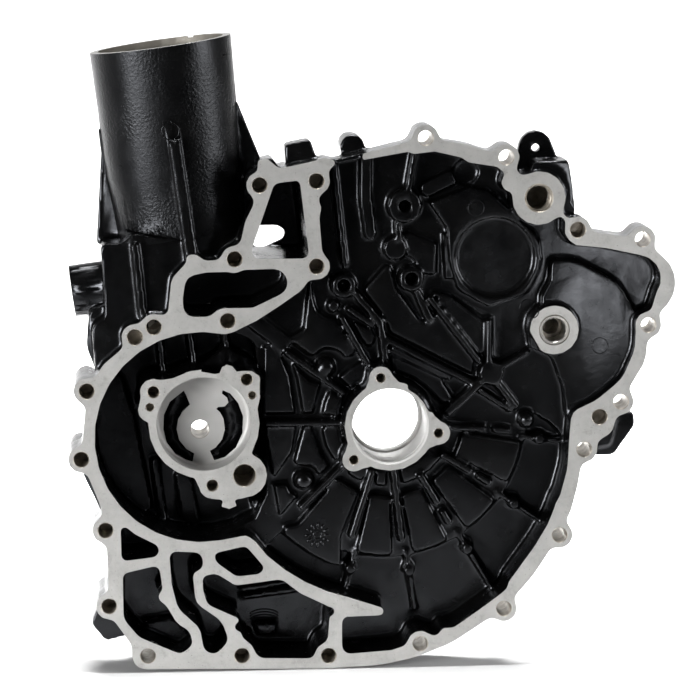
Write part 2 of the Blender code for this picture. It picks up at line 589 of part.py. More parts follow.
LEFT_PLATEAU = [
    (-150.0, 26.0, 6.0), (-142.5, 0.5, 10.0), (-132.0, -56.0, 3.0), (-146.0, -50.0, 8.0),
    (-158.0, -34.0, 10.0), (-164.0, -15.0, 10.0), (-162.0, 10.0, 10.0), (-157.0, 22.0, 6.0),
]
POCKET_PAD = [(-119.5, -32.0, 2.0), (-111.0, -32.5, 2.0), (-105.0, -63.5, 2.0), (-115.5, -60.5, 3.0)]
POCKET_PAD_RIGHT = [(-77.0, -47.0, 2.0), (-67.5, -45.0, 2.0), (-66.0, -58.5, 2.0), (-71.0, -66.5, 2.0)]
WIDE_RIB = [
    (-15.5, 148.5, 1.0), (-9.0, 149.5, 1.0), (-9.5, 128.0, 12.0), (-6.5, 105.0, 3.0), (-12.5, 102.5, 3.0),
    (-16.0, 128.0, 12.0),
]
FINGER = [(13.5, 76.0, 2.0), (22.0, 56.0, 3.0), (26.5, 57.5, 3.0), (24.0, 62.0, 2.0), (18.5, 74.0, 2.0)]

# Straight ribs: start, end, width and height over the radial ribs
STRAIGHT_RIBS = {
    "top_a": ((-26.5, 60.5), (-11.0, 33.0), RIB_WIDTH, 0),
    "top_b": ((-18.5, 73.5), (-4.5, 57.0), 3.6, 0),
    "top_c": ((-4.5, 57.5), (-1.5, 35.5), 3.6, 0),
    "long_a": ((-1.0, 47.0), (49.5, 21.0), RIB_WIDTH, 0),
    "long_b": ((1.0, 41.0), (35.5, 24.0), 2.4, -2),
    "long_c": ((23.0, 71.0), (52.0, 33.5), RIB_WIDTH, 0),
    "junction_up": ((57.3, 58.0), (57.0, 34.0), RIB_WIDTH, 0),
    "junction_down": ((61.0, 22.5), (73.0, 7.0), RIB_WIDTH, -1),
    "junction_low": ((51.5, 17.5), (71.0, 5.0), 2.6, -2),
    "junction_right": ((64.0, 31.0), (80.0, 39.5), RIB_WIDTH, 0),
    "junction_ear": ((52.5, 22.5), (33.0, 4.5), 4.4, 1),
    "vee": ((-22.5, 65.0), (-8.0, 55.0), RIB_WIDTH, -1),
    "left_high": ((-58.0, 41.0), (-24.0, 16.5), RIB_WIDTH, 0),
    "left_bar": ((-78.0, 60.5), (-56.0, 43.5), 9.0, -3),
    "crown": ((14.5, 151.5), (11.0, 131.0), RIB_WIDTH, 2),
    "crown_foot": ((5.2, 113.0), (5.8, 103.0), RIB_WIDTH, 0),
    "left_wall": ((-30.5, 146.0), (-24.0, 88.0), RIB_WIDTH, 1),
}
POCKET_RIBS = (((-128.5, 52.0), (-125.5, 22.0)), ((-111.5, 53.0), (-107.5, 26.0)), ((-91.5, 52.0), (-89.0, 32.0)))

# Bosses of the floor: x, z, radius, height over the floor and core radius
FLOOR_BOSSES = {
    "crown": (9.0, 122.5, 9.2, 10.0, 3.4),
    "crown_low": (13.0, 81.5, 7.0, 9.0, 3.6),
    "crown_mid": (4.0, 98.5, 6.3, 7.0, 0),
    "box": (-25.0, 78.0, 6.8, 9.0, 3.6),
    "box_low": (-30.5, 66.0, 3.3, 5.0, 0),
    "junction": (58.5, 27.5, 6.8, RIB_RISE, 0),
}
DOMES = ((-47.5, -33.0, 5.0), (-35.0, 31.5, 5.0), (79.0, 0.0, 4.4))


def outer_forms(shapes):
    """The flange and the bodies of the casting behind it."""
    prism(shapes, "well_body", outline(WELL_BODY), FLANGE_DEPTH - 1, WELL_DEPTH + FLOOR_WALL)
    rod(shapes, "crank_boss", (0, 0), 31.0, FLOOR_DEPTH + 1, CRANK_BOSS_LENGTH)
    barrel = [("arc", -105.5, -5.0, 64.0, 62.0, 303.0), (-62.5, -42.0, 4.0), (-65.0, 10.0, 6.0), (-68.0, 46.0, 6.0)]
    prism(shapes, "pocket_body", outline(barrel), 6.0, POCKET_DEPTH + POCKET_WALL)
    prism(shapes, "gallery_body", outline(GALLERY_BLOCK), FLANGE_DEPTH - 1, GALLERY_DEPTH + GALLERY_WALL)
    prism(shapes, "box_body", outline(BOX_BLOCK), FLANGE_DEPTH - 1, BOX_DEPTH + BOX_WALL)
    prism(shapes, "oblong_body", outline(OBLONG_BLOCK), FLANGE_DEPTH - 2, OBLONG_DEPTH + BOX_WALL)
    for name, length in LONG_BOSSES.items():
        rod(shapes, f"boss_{name}", HOLES[name], BOSS_RADIUS - 0.2, FLANGE_DEPTH - 1, length)
    rod(shapes, "idler_tail", IDLER_CENTRE, 10.0, FLOOR_DEPTH + 1, IDLER_BOSS_LENGTH, 13.0)
    rod(shapes, "port_boss", PORT_CENTRE, PORT_BOSS_RADIUS - 0.3, FLANGE_DEPTH - 1, PORT_DEPTH + 6)


def leaning_frame(root, depth, lean, length):
    """Local axes of a round spigot: Z runs outwards along it, Y into the casting, the origin is at its mouth."""
    place = Matrix.Translation(Vector((root[0], depth, root[1])) * MM)
    place = place @ Matrix.Rotation(math.radians(-lean), 4, "Y")
    return place @ Matrix.Translation((0, 0, length * MM))


def tube_frame():
    return leaning_frame(TUBE_FOOT, TUBE_DEPTH, TUBE_LEAN, TUBE_LENGTH)


def spout_frame():
    """The spout lies square to the tube."""
    return leaning_frame(SPOUT_ROOT, SPOUT_DEPTH, 90 + TUBE_LEAN, SPOUT_LENGTH)


def tube_forms(shapes):
    """The filler tube, its ribs and gussets, the shoulder it stands on and the side spout."""
    foot = -TUBE_LENGTH
    turned(shapes, "tube", [(0, 0), (TUBE_RIM_RADIUS, 0), (TUBE_FOOT_RADIUS, foot), (0, foot)], tube_frame())
    prism(shapes, "shoulder", outline(SHOULDER), 8.0, TUBE_DEPTH + 26)
    prism(shapes, "front_rib", bar((-120.0, 166.0), (-110.0, 94.0), 6.6, 1.0), 0.5, TUBE_DEPTH)
    rod(shapes, "front_rib_head", (-120.3, 168.0), 5.0, 1.2, TUBE_DEPTH)
    prism(shapes, "left_gusset", outline([(-158.5, 165), (-162.5, 100), (-140, 100), (-140, 150)]), 38.0, 46.0)
    prism(shapes, "right_gusset", outline([(-84.0, 182), (-69.0, 145, 2), (-69.0, 120), (-95, 120)]), 34.0, 42.0)
    prism(shapes, "shoulder_rib", bar((-141.5, 104.0), (-137.5, 62.0), 4.0, 1.0), 3.0, 20.0)
    spout = [(0, 0), (SPOUT_RADIUS, 0), (SPOUT_RADIUS, -SPOUT_LENGTH), (0, -SPOUT_LENGTH)]
    turned(shapes, "spout", spout, spout_frame())
    prism(shapes, "spout_neck", outline(SPOUT_NECK), 18.0, 56.0)


def lugs(shapes):
    """Small cast lugs round the outside."""
    prism(shapes, "top_lug", outline([(-57.0, 140), (-58.0, 157, 2), (-43.5, 160, 2), (-38.5, 145)]), 12.0, 30.0)
    prism(shapes, "top_ledge", outline([(-73, 130), (-72, 149), (-65.5, 150.5), (-60, 144)]), 4.0, 30.0)
    lug = [(-168.0, -114.5, 3), (-165.0, -106.0, 2), (-150, -104), (-148.0, -121.5), (-160.0, -124.5, 2)]
    prism(shapes, "left_lug", outline(lug), 17.0, 30.0)
    lug = [(120.0, 2.0), (141.5, 2.5, 2), (142.0, -5.0, 2), (130.0, -22.0, 2), (117.5, -22.0)]
    prism(shapes, "right_lug", outline(lug), 19.0, 34.0)
    prism(shapes, "right_lug_root", outline([(104, 4, 2), (132, 4, 2), (128, -16, 2), (104, -20, 2)]), 17.0, 27.0)
    prism(shapes, "left_rib", bar((-170.0, -26.0), (-159.0, -50.0), 5.0, 1.5), 17.0, 34.0)
    prism(shapes, "left_rib_root", bar((-164.0, -24.0), (-152.0, -52.0), 12.0, 2.0), 20.0, 30.0)
    ear = [(72.0, 140.0), ("arc", 84.0, 153.5, 9.6, 170.0, 10.0), (97.0, 146.0), (97.0, 120.0)]
    prism(shapes, "back_ear", outline(ear), 22.0, 31.0)
    prism(shapes, "port_side", outline([(80, 147, 3), (103, 148, 2), (107, 119, 2), (80, 112, 3)]), 6.0, 34.0)
    rod(shapes, "top_boss", (-19.5, 155.0), 7.0, 19.0, 44.0)


# The floor inside the casting


def cavities(cuts):
    prism(cuts, "cavity", outline(CAVITY_OUTLINE), -1.0, FLOOR_DEPTH)
    prism(cuts, "pocket", outline(LEFT_POCKET), FLOOR_DEPTH - 1, POCKET_DEPTH)
    for i, gallery in enumerate(GALLERIES):
        prism(cuts, f"gallery_{i}", outline(gallery), -1.0, GALLERY_DEPTH)
    prism(cuts, "box_window", outline(BOX_WINDOW), -1.0, BOX_DEPTH)
    prism(cuts, "oblong_cavity", outline(OBLONG_CAVITY), -1.0, OBLONG_DEPTH)
    prism(cuts, "shoulder_core", outline(SHOULDER_CORE), 14.0, TUBE_DEPTH + 20)
    prism(cuts, "box_sight_hole", outline(BOX_SIGHT_HOLE), BOX_DEPTH - 4, BOX_DEPTH + BOX_WALL + 1)
    rod(cuts, "pump_back_core", PUMP_CENTRE, 22.0, PUMP_PORT_FLOOR + 4.0, POCKET_DEPTH + POCKET_WALL + 1)
    prism(cuts, "ledge_back_core", outline(LEDGE_CORE), LEDGE_DEPTH + 4.5, FLANGE_DEPTH + 1)
    prism(cuts, "wall_saddle", outline([(-31, 140, 1), (-31, 160, 1), (-15.5, 160, 1), (-15.5, 140, 1)]), -1.0, 3.5)
    drafted = [(x * WELL_DRAFT, z * WELL_DRAFT) for x, z in outline(WELL_OUTLINE)]
    prism(cuts, "well", drafted, -1.5, WELL_DEPTH)


def pads(shapes):
    """Raised fields of the floor, with valleys between them and the ribs."""
    top = FLOOR_DEPTH - PAD_RISE
    under = FLOOR_DEPTH + 1.5
    for i, (start, end) in enumerate(PAD_ANGLES):
        prism(shapes, f"pad_{i}", sector(*PAD_RINGS[1], start, end), top, under)
    for i, (start, end) in enumerate(INNER_PAD_ANGLES):
        prism(shapes, f"inner_pad_{i}", sector(*PAD_RINGS[0], start, end, 0.0), top, under)
    for name, corners in FLOOR_FIELDS.items():
        prism(shapes, f"field_{name}", outline(corners), top, under)
    prism(shapes, "recess_field", outline(RECESS_FIELD), FLOOR_DEPTH - 7.5, under)
    prism(shapes, "idler_ledge", outline(IDLER_LEDGE), LEDGE_DEPTH, under)
    prism(shapes, "left_plateau", outline(LEFT_PLATEAU), POCKET_DEPTH - 7, POCKET_DEPTH + 2)
    prism(shapes, "pocket_pad", outline(POCKET_PAD), POCKET_DEPTH - 6, POCKET_DEPTH + 2)
    prism(shapes, "pocket_pad_right", outline(POCKET_PAD_RIGHT), POCKET_DEPTH - 14, POCKET_DEPTH + 2)


def ribs(shapes):
    top = FLOOR_DEPTH - RIB_RISE
    under = FLOOR_DEPTH + 1.2
    runs = [(angle, start, RIB_END) for angle, start in WHOLE_RIBS.items()]
    for angle, start in BROKEN_RIBS.items():
        runs += [(angle, start, RIB_BREAKS[0]), (angle, RIB_BREAKS[1], RIB_END)]
    for i, (angle, start, end) in enumerate(runs):
        prism(shapes, f"floor_rib_{i}", bar(on_circle(start, angle), on_circle(end, angle), RIB_WIDTH), top, under)
    for i, (angle, end) in enumerate(OUTER_RIBS.items()):
        centre = on_circle(DISC_CIRCLE_RADIUS, angle)
        rod(shapes, f"disc_{i}", centre, DISC_RADIUS + 0.6, FLOOR_DEPTH - 3, WELL_DEPTH + 2, DISC_RADIUS)
        line = bar(on_circle(RIB_END + 6, angle), on_circle(end, angle), RIB_WIDTH * 0.8)
        prism(shapes, f"outer_rib_{i}", line, FLOOR_DEPTH - 1, WELL_DEPTH + 1.5)
    for name, (start, end, width, rise) in STRAIGHT_RIBS.items():
        prism(shapes, f"rib_{name}", bar(start, end, width), top - rise, under)
    prism(shapes, "wide_rib", outline(WIDE_RIB), top + 2, under)
    prism(shapes, "wide_bar", bar((19.0, 130.0), (38.0, 139.0), 8.0, 2.0), top + 3, under)
    prism(shapes, "finger", outline(FINGER), top + 2, under)
    for i, (upper, lower) in enumerate(POCKET_RIBS):
        prism(shapes, f"pocket_rib_{i}", bar(upper, lower, 3.0), POCKET_DEPTH - 22, POCKET_DEPTH + 2)
    prism(shapes, "pocket_rib_low", bar((-131.0, -24.0), (-126.5, -60.0), 4.0), POCKET_DEPTH - 8, POCKET_DEPTH + 2)


def floor_bosses(shapes):
    """Round cores and drilled bosses that stand on the floor."""
    under = FLOOR_DEPTH + 1.7
    for name, (x, z, radius, rise, _) in FLOOR_BOSSES.items():
        rod(shapes, f"boss_{name}", (x, z), radius + 0.6, FLOOR_DEPTH - rise, under, radius)
    for i, (x, z, radius) in enumerate(DOMES):
        profile = [(0, FLOOR_DEPTH), (radius + 0.6, FLOOR_DEPTH), (radius, 12.5), (radius * 0.7, 10.5), (0, 9.6)]
        turned(shapes, f"dome_{i}", profile, along_depth((x, z)))


def collar(shapes):
    """The crank bore's collar with its three tapped ears."""
    rod(shapes, "collar", (0, 0), COLLAR_RADIUS + 1.0, 0.0, FLOOR_DEPTH + 1, COLLAR_RADIUS)
    for i, angle in enumerate(COLLAR_EARS):
        start = on_circle(EAR_CIRCLE_RADIUS, angle)
        rod(shapes, f"collar_ear_{i}", start, EAR_RADIUS + 0.5, 0.0, FLOOR_DEPTH + 1.3, EAR_RADIUS)
        web = [on_circle(22.0, angle - 24), on_circle(26.5, angle - 19), on_circle(31.0, angle - 9)]
        web += [on_circle(31.0, angle + 9), on_circle(26.5, angle + 19), on_circle(22.0, angle + 24)]
        prism(shapes, f"collar_web_{i}", web, 0.0, FLOOR_DEPTH + 1.6)


def pump_housing(shapes):
    """The pump body stands up from the floor of the left pocket."""
    front = PUMP_FACE_DEPTH
    under = POCKET_DEPTH + 2
    rod(shapes, "pump_body", PUMP_CENTRE, PUMP_BODY_RADIUS, front, under)
    rod(shapes, "pump_outlet_boss", PUMP_OUTLET, 12.6, front, under)
    for i, centre in enumerate(PUMP_SCREWS):
        rod(shapes, f"pump_screw_boss_{i}", centre, 7.6, front, under)
    rod(shapes, "pump_dowel_boss", (-133.8, 10.5), 7.0, front, under)
    rod(shapes, "pump_dowel_boss_right", (-79.0, 17.0), 6.5, front, under)
    rod(shapes, "pump_lobe_top", (-90.5, 37.5), 4.2, front, under)
    rod(shapes, "pump_lobe_low", (-90.3, -45.0), 4.4, front, under)
    prism(shapes, "pump_right_side", outline(PUMP_RIGHT_SIDE), front, under)
    prism(shapes, "pump_left_side", outline(PUMP_LEFT_SIDE), front, under)
    prism(shapes, "pump_foot", outline(PUMP_FOOT), front, under)


def idler_boss(shapes):
    foot = IDLER_BOSS_RADIUS + 0.5
    rod(shapes, "idler_boss", IDLER_CENTRE, foot, IDLER_FACE_DEPTH, FLOOR_DEPTH + 2, IDLER_BOSS_RADIUS)


# Machining and cored holes


def stepped_bore(cuts, name, centre, front, steps):
    """A bore of several diameters along the depth: steps are (radius, depth at which it ends)."""
    profile = [(0, steps[-1][1] - front)]
    for i in range(len(steps) - 1, -1, -1):
        radius, end = steps[i]
        start = front if i == 0 else steps[i - 1][1]
        profile += [(radius, end - front), (radius, start - front)]
    profile.append((0, 0))
    turned(cuts, name, profile, along_depth(centre, front))


def kidney_port(inner, outer, start, end):
    """A crescent between two circles about the pump's axes."""
    hub = arc(PUMP_SHAFT_CENTRE, inner, start, end)
    overrun = 4 if end > start else -4
    rim = arc((PUMP_CENTRE[0] - 0.5, PUMP_CENTRE[1]), outer, end + overrun, start)
    return outline([(*corner, 1.2) for corner in hub + rim])


def pump_machining(cuts):
    floor = PUMP_FACE_DEPTH + PUMP_POCKET_DEPTH
    wide, flat = PUMP_POCKET_RADIUS, PUMP_POCKET_RADIUS - PUMP_POCKET_FILLET
    profile = [(0, floor), (flat, floor), (wide, floor - 2 * PUMP_POCKET_FILLET), (wide, 0), (0, 0)]
    turned(cuts, "pump_pocket", profile, along_depth(PUMP_CENTRE))
    back = POCKET_DEPTH + POCKET_WALL + 1
    steps = [(PUMP_SHAFT_HOLE / 2, floor + PUMP_SHAFT_WALL), (9.0, back)]
    stepped_bore(cuts, "pump_shaft_hole", PUMP_SHAFT_CENTRE, floor - 1, steps)
    for name, (start, end) in PUMP_PORTS.items():
        port = kidney_port(PUMP_HUB_RADIUS, PUMP_PORT_RADIUS, start, end)
        prism(cuts, name, port, floor - 1, PUMP_PORT_FLOOR)
    for i, centre in enumerate(PUMP_SCREWS):
        rod(cuts, f"pump_screw_hole_{i}", centre, PUMP_SCREW_HOLE / 2, PUMP_FACE_DEPTH - 1, PUMP_FACE_DEPTH + 20)
    for i, centre in enumerate(PUMP_DOWELS):
        rod(cuts, f"pump_dowel_hole_{i}", centre, PUMP_DOWEL_HOLE / 2, PUMP_FACE_DEPTH - 1, PUMP_FACE_DEPTH + 7)
    rod(cuts, "pump_outlet", PUMP_OUTLET, PUMP_OUTLET_BORE / 2, PUMP_FACE_DEPTH - 1, PUMP_FACE_DEPTH + 34)


def bolt_holes(cuts):
    for name, centre in HOLES.items():
        depth = THROUGH_HOLE_DEPTH if name in THROUGH_HOLES else BLIND_HOLE_DEPTH
        rod(cuts, f"hole_{name}", centre, BOLT_HOLE / 2, -1.0, depth)
    for name, centre in DOWELS.items():
        rod(cuts, f"hole_{name}", centre, DOWEL_HOLE / 2, -1.0, DOWEL_HOLE_DEPTH)


def crank_machining(cuts):
    lip = CRANK_BOSS_LENGTH - CRANK_LIP_LENGTH
    steps = [(CRANK_BORE / 2, lip), (CRANK_LIP_BORE / 2, CRANK_BOSS_LENGTH + 1)]
    stepped_bore(cuts, "crank_bore", (0, 0), -1.0, steps)
    for i, angle in enumerate(COLLAR_EARS):
        rod(cuts, f"ear_hole_{i}", on_circle(EAR_CIRCLE_RADIUS, angle), TAPPED_HOLE / 2, -1.0, TAPPED_HOLE_DEPTH)
    start, end = COLLAR_NOTCH
    notch = arc((0, 0), 23.0, start, end) + arc((0, 0), 29.0, end, start)
    prism(cuts, "collar_notch", notch, -1.0, COLLAR_NOTCH_DEPTH)


def idler_machining(cuts):
    seat = IDLER_FACE_DEPTH + BUSH_LENGTH + PRESS_GAP
    steps = [(BUSH_RADIUS, seat), (IDLER_TAIL_BORE_RADIUS, IDLER_BOSS_LENGTH - 4)]
    stepped_bore(cuts, "idler_bore", IDLER_CENTRE, IDLER_FACE_DEPTH - 1, steps)
    direction = Vector(IDLER_CENTRE).normalized()
    near = Vector(IDLER_CENTRE) - direction * (IDLER_CUT_DISTANCE - 0.2)
    across = left_of(direction) * 12
    far = near - direction * 6
    flat = [tuple(corner) for corner in (near + across, near - across, far - across, far + across)]
    prism(cuts, "idler_flat", flat, -1.0, LEDGE_DEPTH)


def drilled_bosses(cuts):
    for name, (x, z, _, rise, core) in FLOOR_BOSSES.items():
        if core:
            rod(cuts, f"core_{name}", (x, z), core, FLOOR_DEPTH - rise - 1, FLOOR_DEPTH + 2)
    rod(cuts, "round_recess", (60.0, 93.0), 22.4, FLOOR_DEPTH - 8.5, FLOOR_DEPTH - 4.5, 23.4)
    rod(cuts, "crown_chip_pocket", (44.0, 140.5), 7.6, FLOOR_DEPTH - 8, FLOOR_DEPTH + 2)
    rod(cuts, "ear_hole", (84.0, 153.5), 2.5, 10.0, 60.0)


def port_machining(cuts):
    rod(cuts, "port_bore", PORT_CENTRE, PORT_BORE / 2, -1.0, PORT_DEPTH)
    place = Matrix.Translation(Vector((PORT_CENTRE[0], PORT_SIDE_DEPTH, PORT_CENTRE[1])) * MM)
    place = place @ Matrix.Rotation(math.pi / 2, 4, "Y")
    profile = [(0, 40), (PORT_SIDE_BORE / 2, 40), (PORT_SIDE_BORE / 2, 0), (0, 0)]
    turned(cuts, "port_side_bore", profile, place)


def tube_machining(cuts):
    foot = 6.0 - TUBE_LENGTH
    taper = (TUBE_RIM_RADIUS - TUBE_FOOT_RADIUS) * 0.8
    bore = [(0, 1), (TUBE_RIM_RADIUS - TUBE_WALL, 1), (TUBE_RIM_RADIUS - TUBE_WALL, -4)]
    bore += [(TUBE_RIM_RADIUS - TUBE_WALL - taper, foot), (0, foot)]
    turned(cuts, "tube_bore", bore, tube_frame())
    spout = [(0, 1), (SPOUT_BORE_RADIUS, 1), (SPOUT_BORE_RADIUS, -SPOUT_LENGTH - 4), (0, -SPOUT_LENGTH - 4)]
    turned(cuts, "spout_bore", spout, spout_frame())
    notch = bmesh.new()
    bmesh.ops.create_cube(notch, size=1.0)
    size = Matrix.Diagonal((TUBE_NOTCH * MM, 8 * MM, TUBE_NOTCH * MM, 1))
    place = tube_frame() @ Matrix.Translation(Vector((20.0, 1 - TUBE_RIM_RADIUS * 0.86, 0)) * MM)
    bmesh.ops.transform(notch, matrix=place @ size, verts=notch.verts)
    mesh = bpy.data.meshes.new("rim_notch")
    notch.to_mesh(mesh)
    notch.free()
    keep(cuts, mesh, "rim_notch")


def bores(cuts):
    bolt_holes(cuts)
    crank_machining(cuts)
    pump_machining(cuts)
    idler_machining(cuts)
    drilled_bosses(cuts)
    port_machining(cuts)
    tube_machining(cuts)


# The two pieces


def metal(name, colour, roughness, metallic):
    material = bpy.data.materials.new(name)
    material.use_nodes = True
    shader = material.node_tree.nodes["Principled BSDF"]
    shader.inputs["Base Color"].default_value = (*colour, 1)
    shader.inputs["Roughness"].default_value = roughness
    shader.inputs["Metallic"].default_value = metallic
    return material


def finish(piece, material):
    piece.data.materials.clear()
    piece.data.materials.append(material)
    piece.data.shade_smooth()
    piece.data.set_sharp_from_angle(angle=math.radians(35))


def make_casting(parts, helpers):
    casting = prism(parts, "cover_casting", outline(JOINT_OUTLINE), 0.0, FLANGE_DEPTH)
    stages = (
        ("outer_forms", (outer_forms, tube_forms, lugs), "UNION"),
        ("cavities", (cavities,), "DIFFERENCE"),
        ("pads", (pads,), "UNION"),
        ("ribs", (ribs,), "UNION"),
        ("inner_bosses", (floor_bosses, collar, pump_housing, idler_boss), "UNION"),
        ("bores", (bores,), "DIFFERENCE"),
    )
    for name, makers, operation in stages:
        shapes = bpy.data.collections.new(name)
        helpers.children.link(shapes)
        shapes.hide_render = True
        for make in makers:
            make(shapes)
        apply_boolean(casting, shapes, operation)
    finish(casting, metal("black_painted_casting", (0.012, 0.012, 0.013), 0.38, 0.0))


def make_bush(parts):
    outer = BUSH_RADIUS - PRESS_GAP
    inner = BUSH_BORE_RADIUS
    profile = [
        (outer, BUSH_CHAMFER), (outer - BUSH_CHAMFER, 0), (inner + BUSH_CHAMFER, 0), (inner, BUSH_CHAMFER),
        (inner, BUSH_LENGTH), (outer, BUSH_LENGTH), (outer, BUSH_CHAMFER),
    ]
    bush = turned(parts, "idler_shaft_bush", profile, along_depth(IDLER_CENTRE, IDLER_FACE_DEPTH))
    finish(bush, metal("ground_steel", (0.45, 0.43, 0.4), 0.3, 1.0))


def main():
    clear_scene()
    parts = new_collection("engine_cover")
    helpers = new_collection("cutters_and_cores", helper=True)
    make_casting(parts, helpers)
    make_bush(parts)


main()
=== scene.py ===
"""Engine cover: the looks of a black-painted casting with bright machined faces.

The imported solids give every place. The casting's copy gets cast blends, is machined again with crisp tools,
and its faces then take paint or bare metal. Lengths are in millimetres, as on a drawing, apart from those of
the lights and the bumps, which are in metres. A place on the cover is its x and z, and a depth is along y.
"""

import math

import bmesh
import bpy
import numpy as np
from mathutils import Matrix, Vector


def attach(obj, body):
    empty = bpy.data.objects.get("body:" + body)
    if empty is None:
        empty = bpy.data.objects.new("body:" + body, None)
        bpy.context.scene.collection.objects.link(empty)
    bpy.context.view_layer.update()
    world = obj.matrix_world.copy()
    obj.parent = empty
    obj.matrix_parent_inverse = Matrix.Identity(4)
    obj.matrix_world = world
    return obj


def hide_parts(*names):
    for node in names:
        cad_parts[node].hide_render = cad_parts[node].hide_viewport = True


MM = 0.001
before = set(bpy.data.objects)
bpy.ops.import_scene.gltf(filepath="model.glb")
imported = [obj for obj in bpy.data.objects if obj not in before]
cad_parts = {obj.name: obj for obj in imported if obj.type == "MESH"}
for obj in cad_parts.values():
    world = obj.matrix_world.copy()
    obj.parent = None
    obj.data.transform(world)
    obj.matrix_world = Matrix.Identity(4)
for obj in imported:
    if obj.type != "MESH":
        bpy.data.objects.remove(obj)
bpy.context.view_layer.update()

# Camera of the photograph: a long lens to the left of the cover and a little above it, turned to its right
CAMERA_AT = (-166.18, -1756.26, 318.72)
CAMERA_RIGHT = (0.996669, -0.081553, 0.0)
CAMERA_UP = (0.012553, 0.153412, 0.988083)
CAMERA_LENS = 164.57

# Cast form: stock on the faces that are machined, the remesh's voxel, and how near two corners are one
STOCK = 4.0
VOXEL = 1.0
BLEND_STEPS = 5
CAST_TRIANGLES = 150000
MERGE = 0.001

# Drills start this far in front of the face that they enter, and a face this near a plane lies on it
REACH = 6.0
ON_PLANE = 0.02

# Joint face: the box that mills it, its holes' radii, depths and places, and the chamfer at their mouths
JOINT_CUT = [(-260.0, 240.0), (-40.0, 0.0), (-220.0, 300.0)]
BOLT_RADIUS = 4.2
BLIND_DEPTH = 20.0
THROUGH_DEPTH = 60.0
BLIND_HOLES = [
    (-72.5, 136.0), (-41.0, 138.0), (-86.5, 95.0), (-41.0, 90.5), (-34.5, -131.5), (-83.5, -130.5),
    (-158.0, -100.5), (-159.5, -57.0), (-172.5, -16.5), (-169.0, 22.0), (-131.5, 57.5), (-90.5, 60.5),
]
THROUGH_HOLES = [
    (19.5, 161.5), (64.5, 150.5), (141.5, 104.0), (145.5, 55.5), (130.5, 12.0), (110.0, -15.0), (96.5, -64.0),
    (65.0, -106.0), (17.5, -125.5), (-136.5, -129.5),
]
DOWEL_RADIUS = 4.3
DOWEL_DEPTH = 10.0
DOWEL_HOLES = [(-142.0, 52.0), (105.0, 109.5), (118.5, 3.5)]
EDGE_BREAK = 0.35

# Crank bore: its groove as depths and extra radii, the lip near its back end, and the holes of its three ears
CRANK_RADIUS = 21.0
CRANK_CHAMFER = 1.0
CRANK_GROOVE = [(5.0, 0.0), (5.3, 0.5), (6.9, 0.5), (7.2, 0.0)]
CRANK_LIP_RADIUS = 19.25
CRANK_LIP_AT = 31.0
CRANK_LIP_CHAMFER = 0.6
CRANK_END = 37.0
EAR_CIRCLE = 27.8
EAR_ANGLES = (100.8, -9.3, -136.7)
EAR_HOLE_RADIUS = 2.55
EAR_HOLE_DEPTH = 16.0

# Pump housing: it stands in a round oil pocket, whose middle and reach tell its face from others
POCKET_AT = (-105.5, -5.0)
POCKET_REACH = 54.0
PUMP_AT = (-104.0, 2.0)
PUMP_FACE = 3.0
PUMP_RADIUS = 26.5
PUMP_CORNER = 2.5
PUMP_FLOOR = 21.0
PUMP_FLOOR_STOCK = 1.2
PUMP_FLOOR_BACK = 31.5
PUMP_WALL_STOCK = 1.0
PUMP_WALL_END = 14.4
PUMP_SCREWS = [(-132.0, 20.5), (-80.0, 27.0), (-99.5, -33.0)]
PUMP_SCREW_RADIUS = 3.2
PUMP_SCREW_DEPTH = 20.0
PUMP_PINS = [(-134.0, 12.0), (-77.0, 18.0)]
PUMP_PIN_RADIUS = 2.15
PUMP_PIN_DEPTH = 7.0
PUMP_OUTLET = (-81.5, -27.5)
PUMP_OUTLET_RADIUS = 6.2
PUMP_OUTLET_DEPTH = 34.0

# The shaft hole is closed where the solid has it and drilled a little lower, through the back
PUMP_SHAFT_AT = (-106.0, 2.0)
PUMP_SHAFT_DRILLED = (-105.7, -3.9)
PUMP_SHAFT_RADIUS = 5.15
PUMP_SHAFT_DEPTH = 40.0

# Idler boss, the bush that nearly fills its bore, the narrower bore behind, and the threaded port
IDLER_AT = (92.5, 53.0)
IDLER_FACE = 1.5
IDLER_FACE_REACH = 16.5
IDLER_BORE_RADIUS = 8.7
IDLER_THROAT_RADIUS = 4.8
IDLER_END = 36.0
BUSH_OUTER = 8.6
BUSH_INNER = 6.6
BUSH_LENGTH = 16.0
BUSH_CHAMFER = 0.5
BUSH_GAP = 0.3
PORT_AT = (83.0, 127.5)
PORT_RADIUS = 7.35
PORT_DEPTH = 26.0
PORT_CHAMFER = 0.8
THREAD_PITCH = 1.5
THREAD_HEIGHT = 0.75

# Cored bosses on the floor: place, radius, depth of the boss's face and depth of the hole in it
CORED_BOSSES = [
    ((9.0, 122.5), 3.4, 9.0, 11.0), ((13.0, 81.5), 3.6, 10.0, 12.0), ((-25.0, 78.0), 3.6, 10.0, 12.0),
]
CORED_CHAMFER = 0.5

# Filler tube and spout: root and length of their axes, radii, how far the rim stands above the solid's
TUBE_FOOT = (-109.0, 42.0, 93.85)
TUBE_LEAN = 7.7
TUBE_LENGTH = 118.0
TUBE_RIM_RADIUS = 39.1
TUBE_FOOT_RADIUS = 33.0
TUBE_RISE = 1.2
SPOUT_ROOT = (-140.8, 38.0, 77.8)
SPOUT_LENGTH = 36.0
SPOUT_RADIUS = 14.6

# The notch in the tube's rim behind, and the arc that closes the solid's notch in front, seen down the tube
TUBE_NOTCH = [(16.0, 28.0), (19.0, 28.0), (19.0, 42.0), (16.0, 42.0)]
NOTCH_DEPTH = 1.0
RIM_ARC_ANGLES = (-64.5, -54.0)
RIM_ARC_RADII = (38.8, 35.1)
RIM_ARC_DEPTH = 5.0

# Skin this near a spigot's cone is laid on it, from a margin above the foot; above the rib's head, more is
CONE_REACH = 0.75
RIB_REACH = 6.0
RIB_SIDE = -20.0
RIB_HEAD = -50.0
FOOT_MARGIN = 4.0

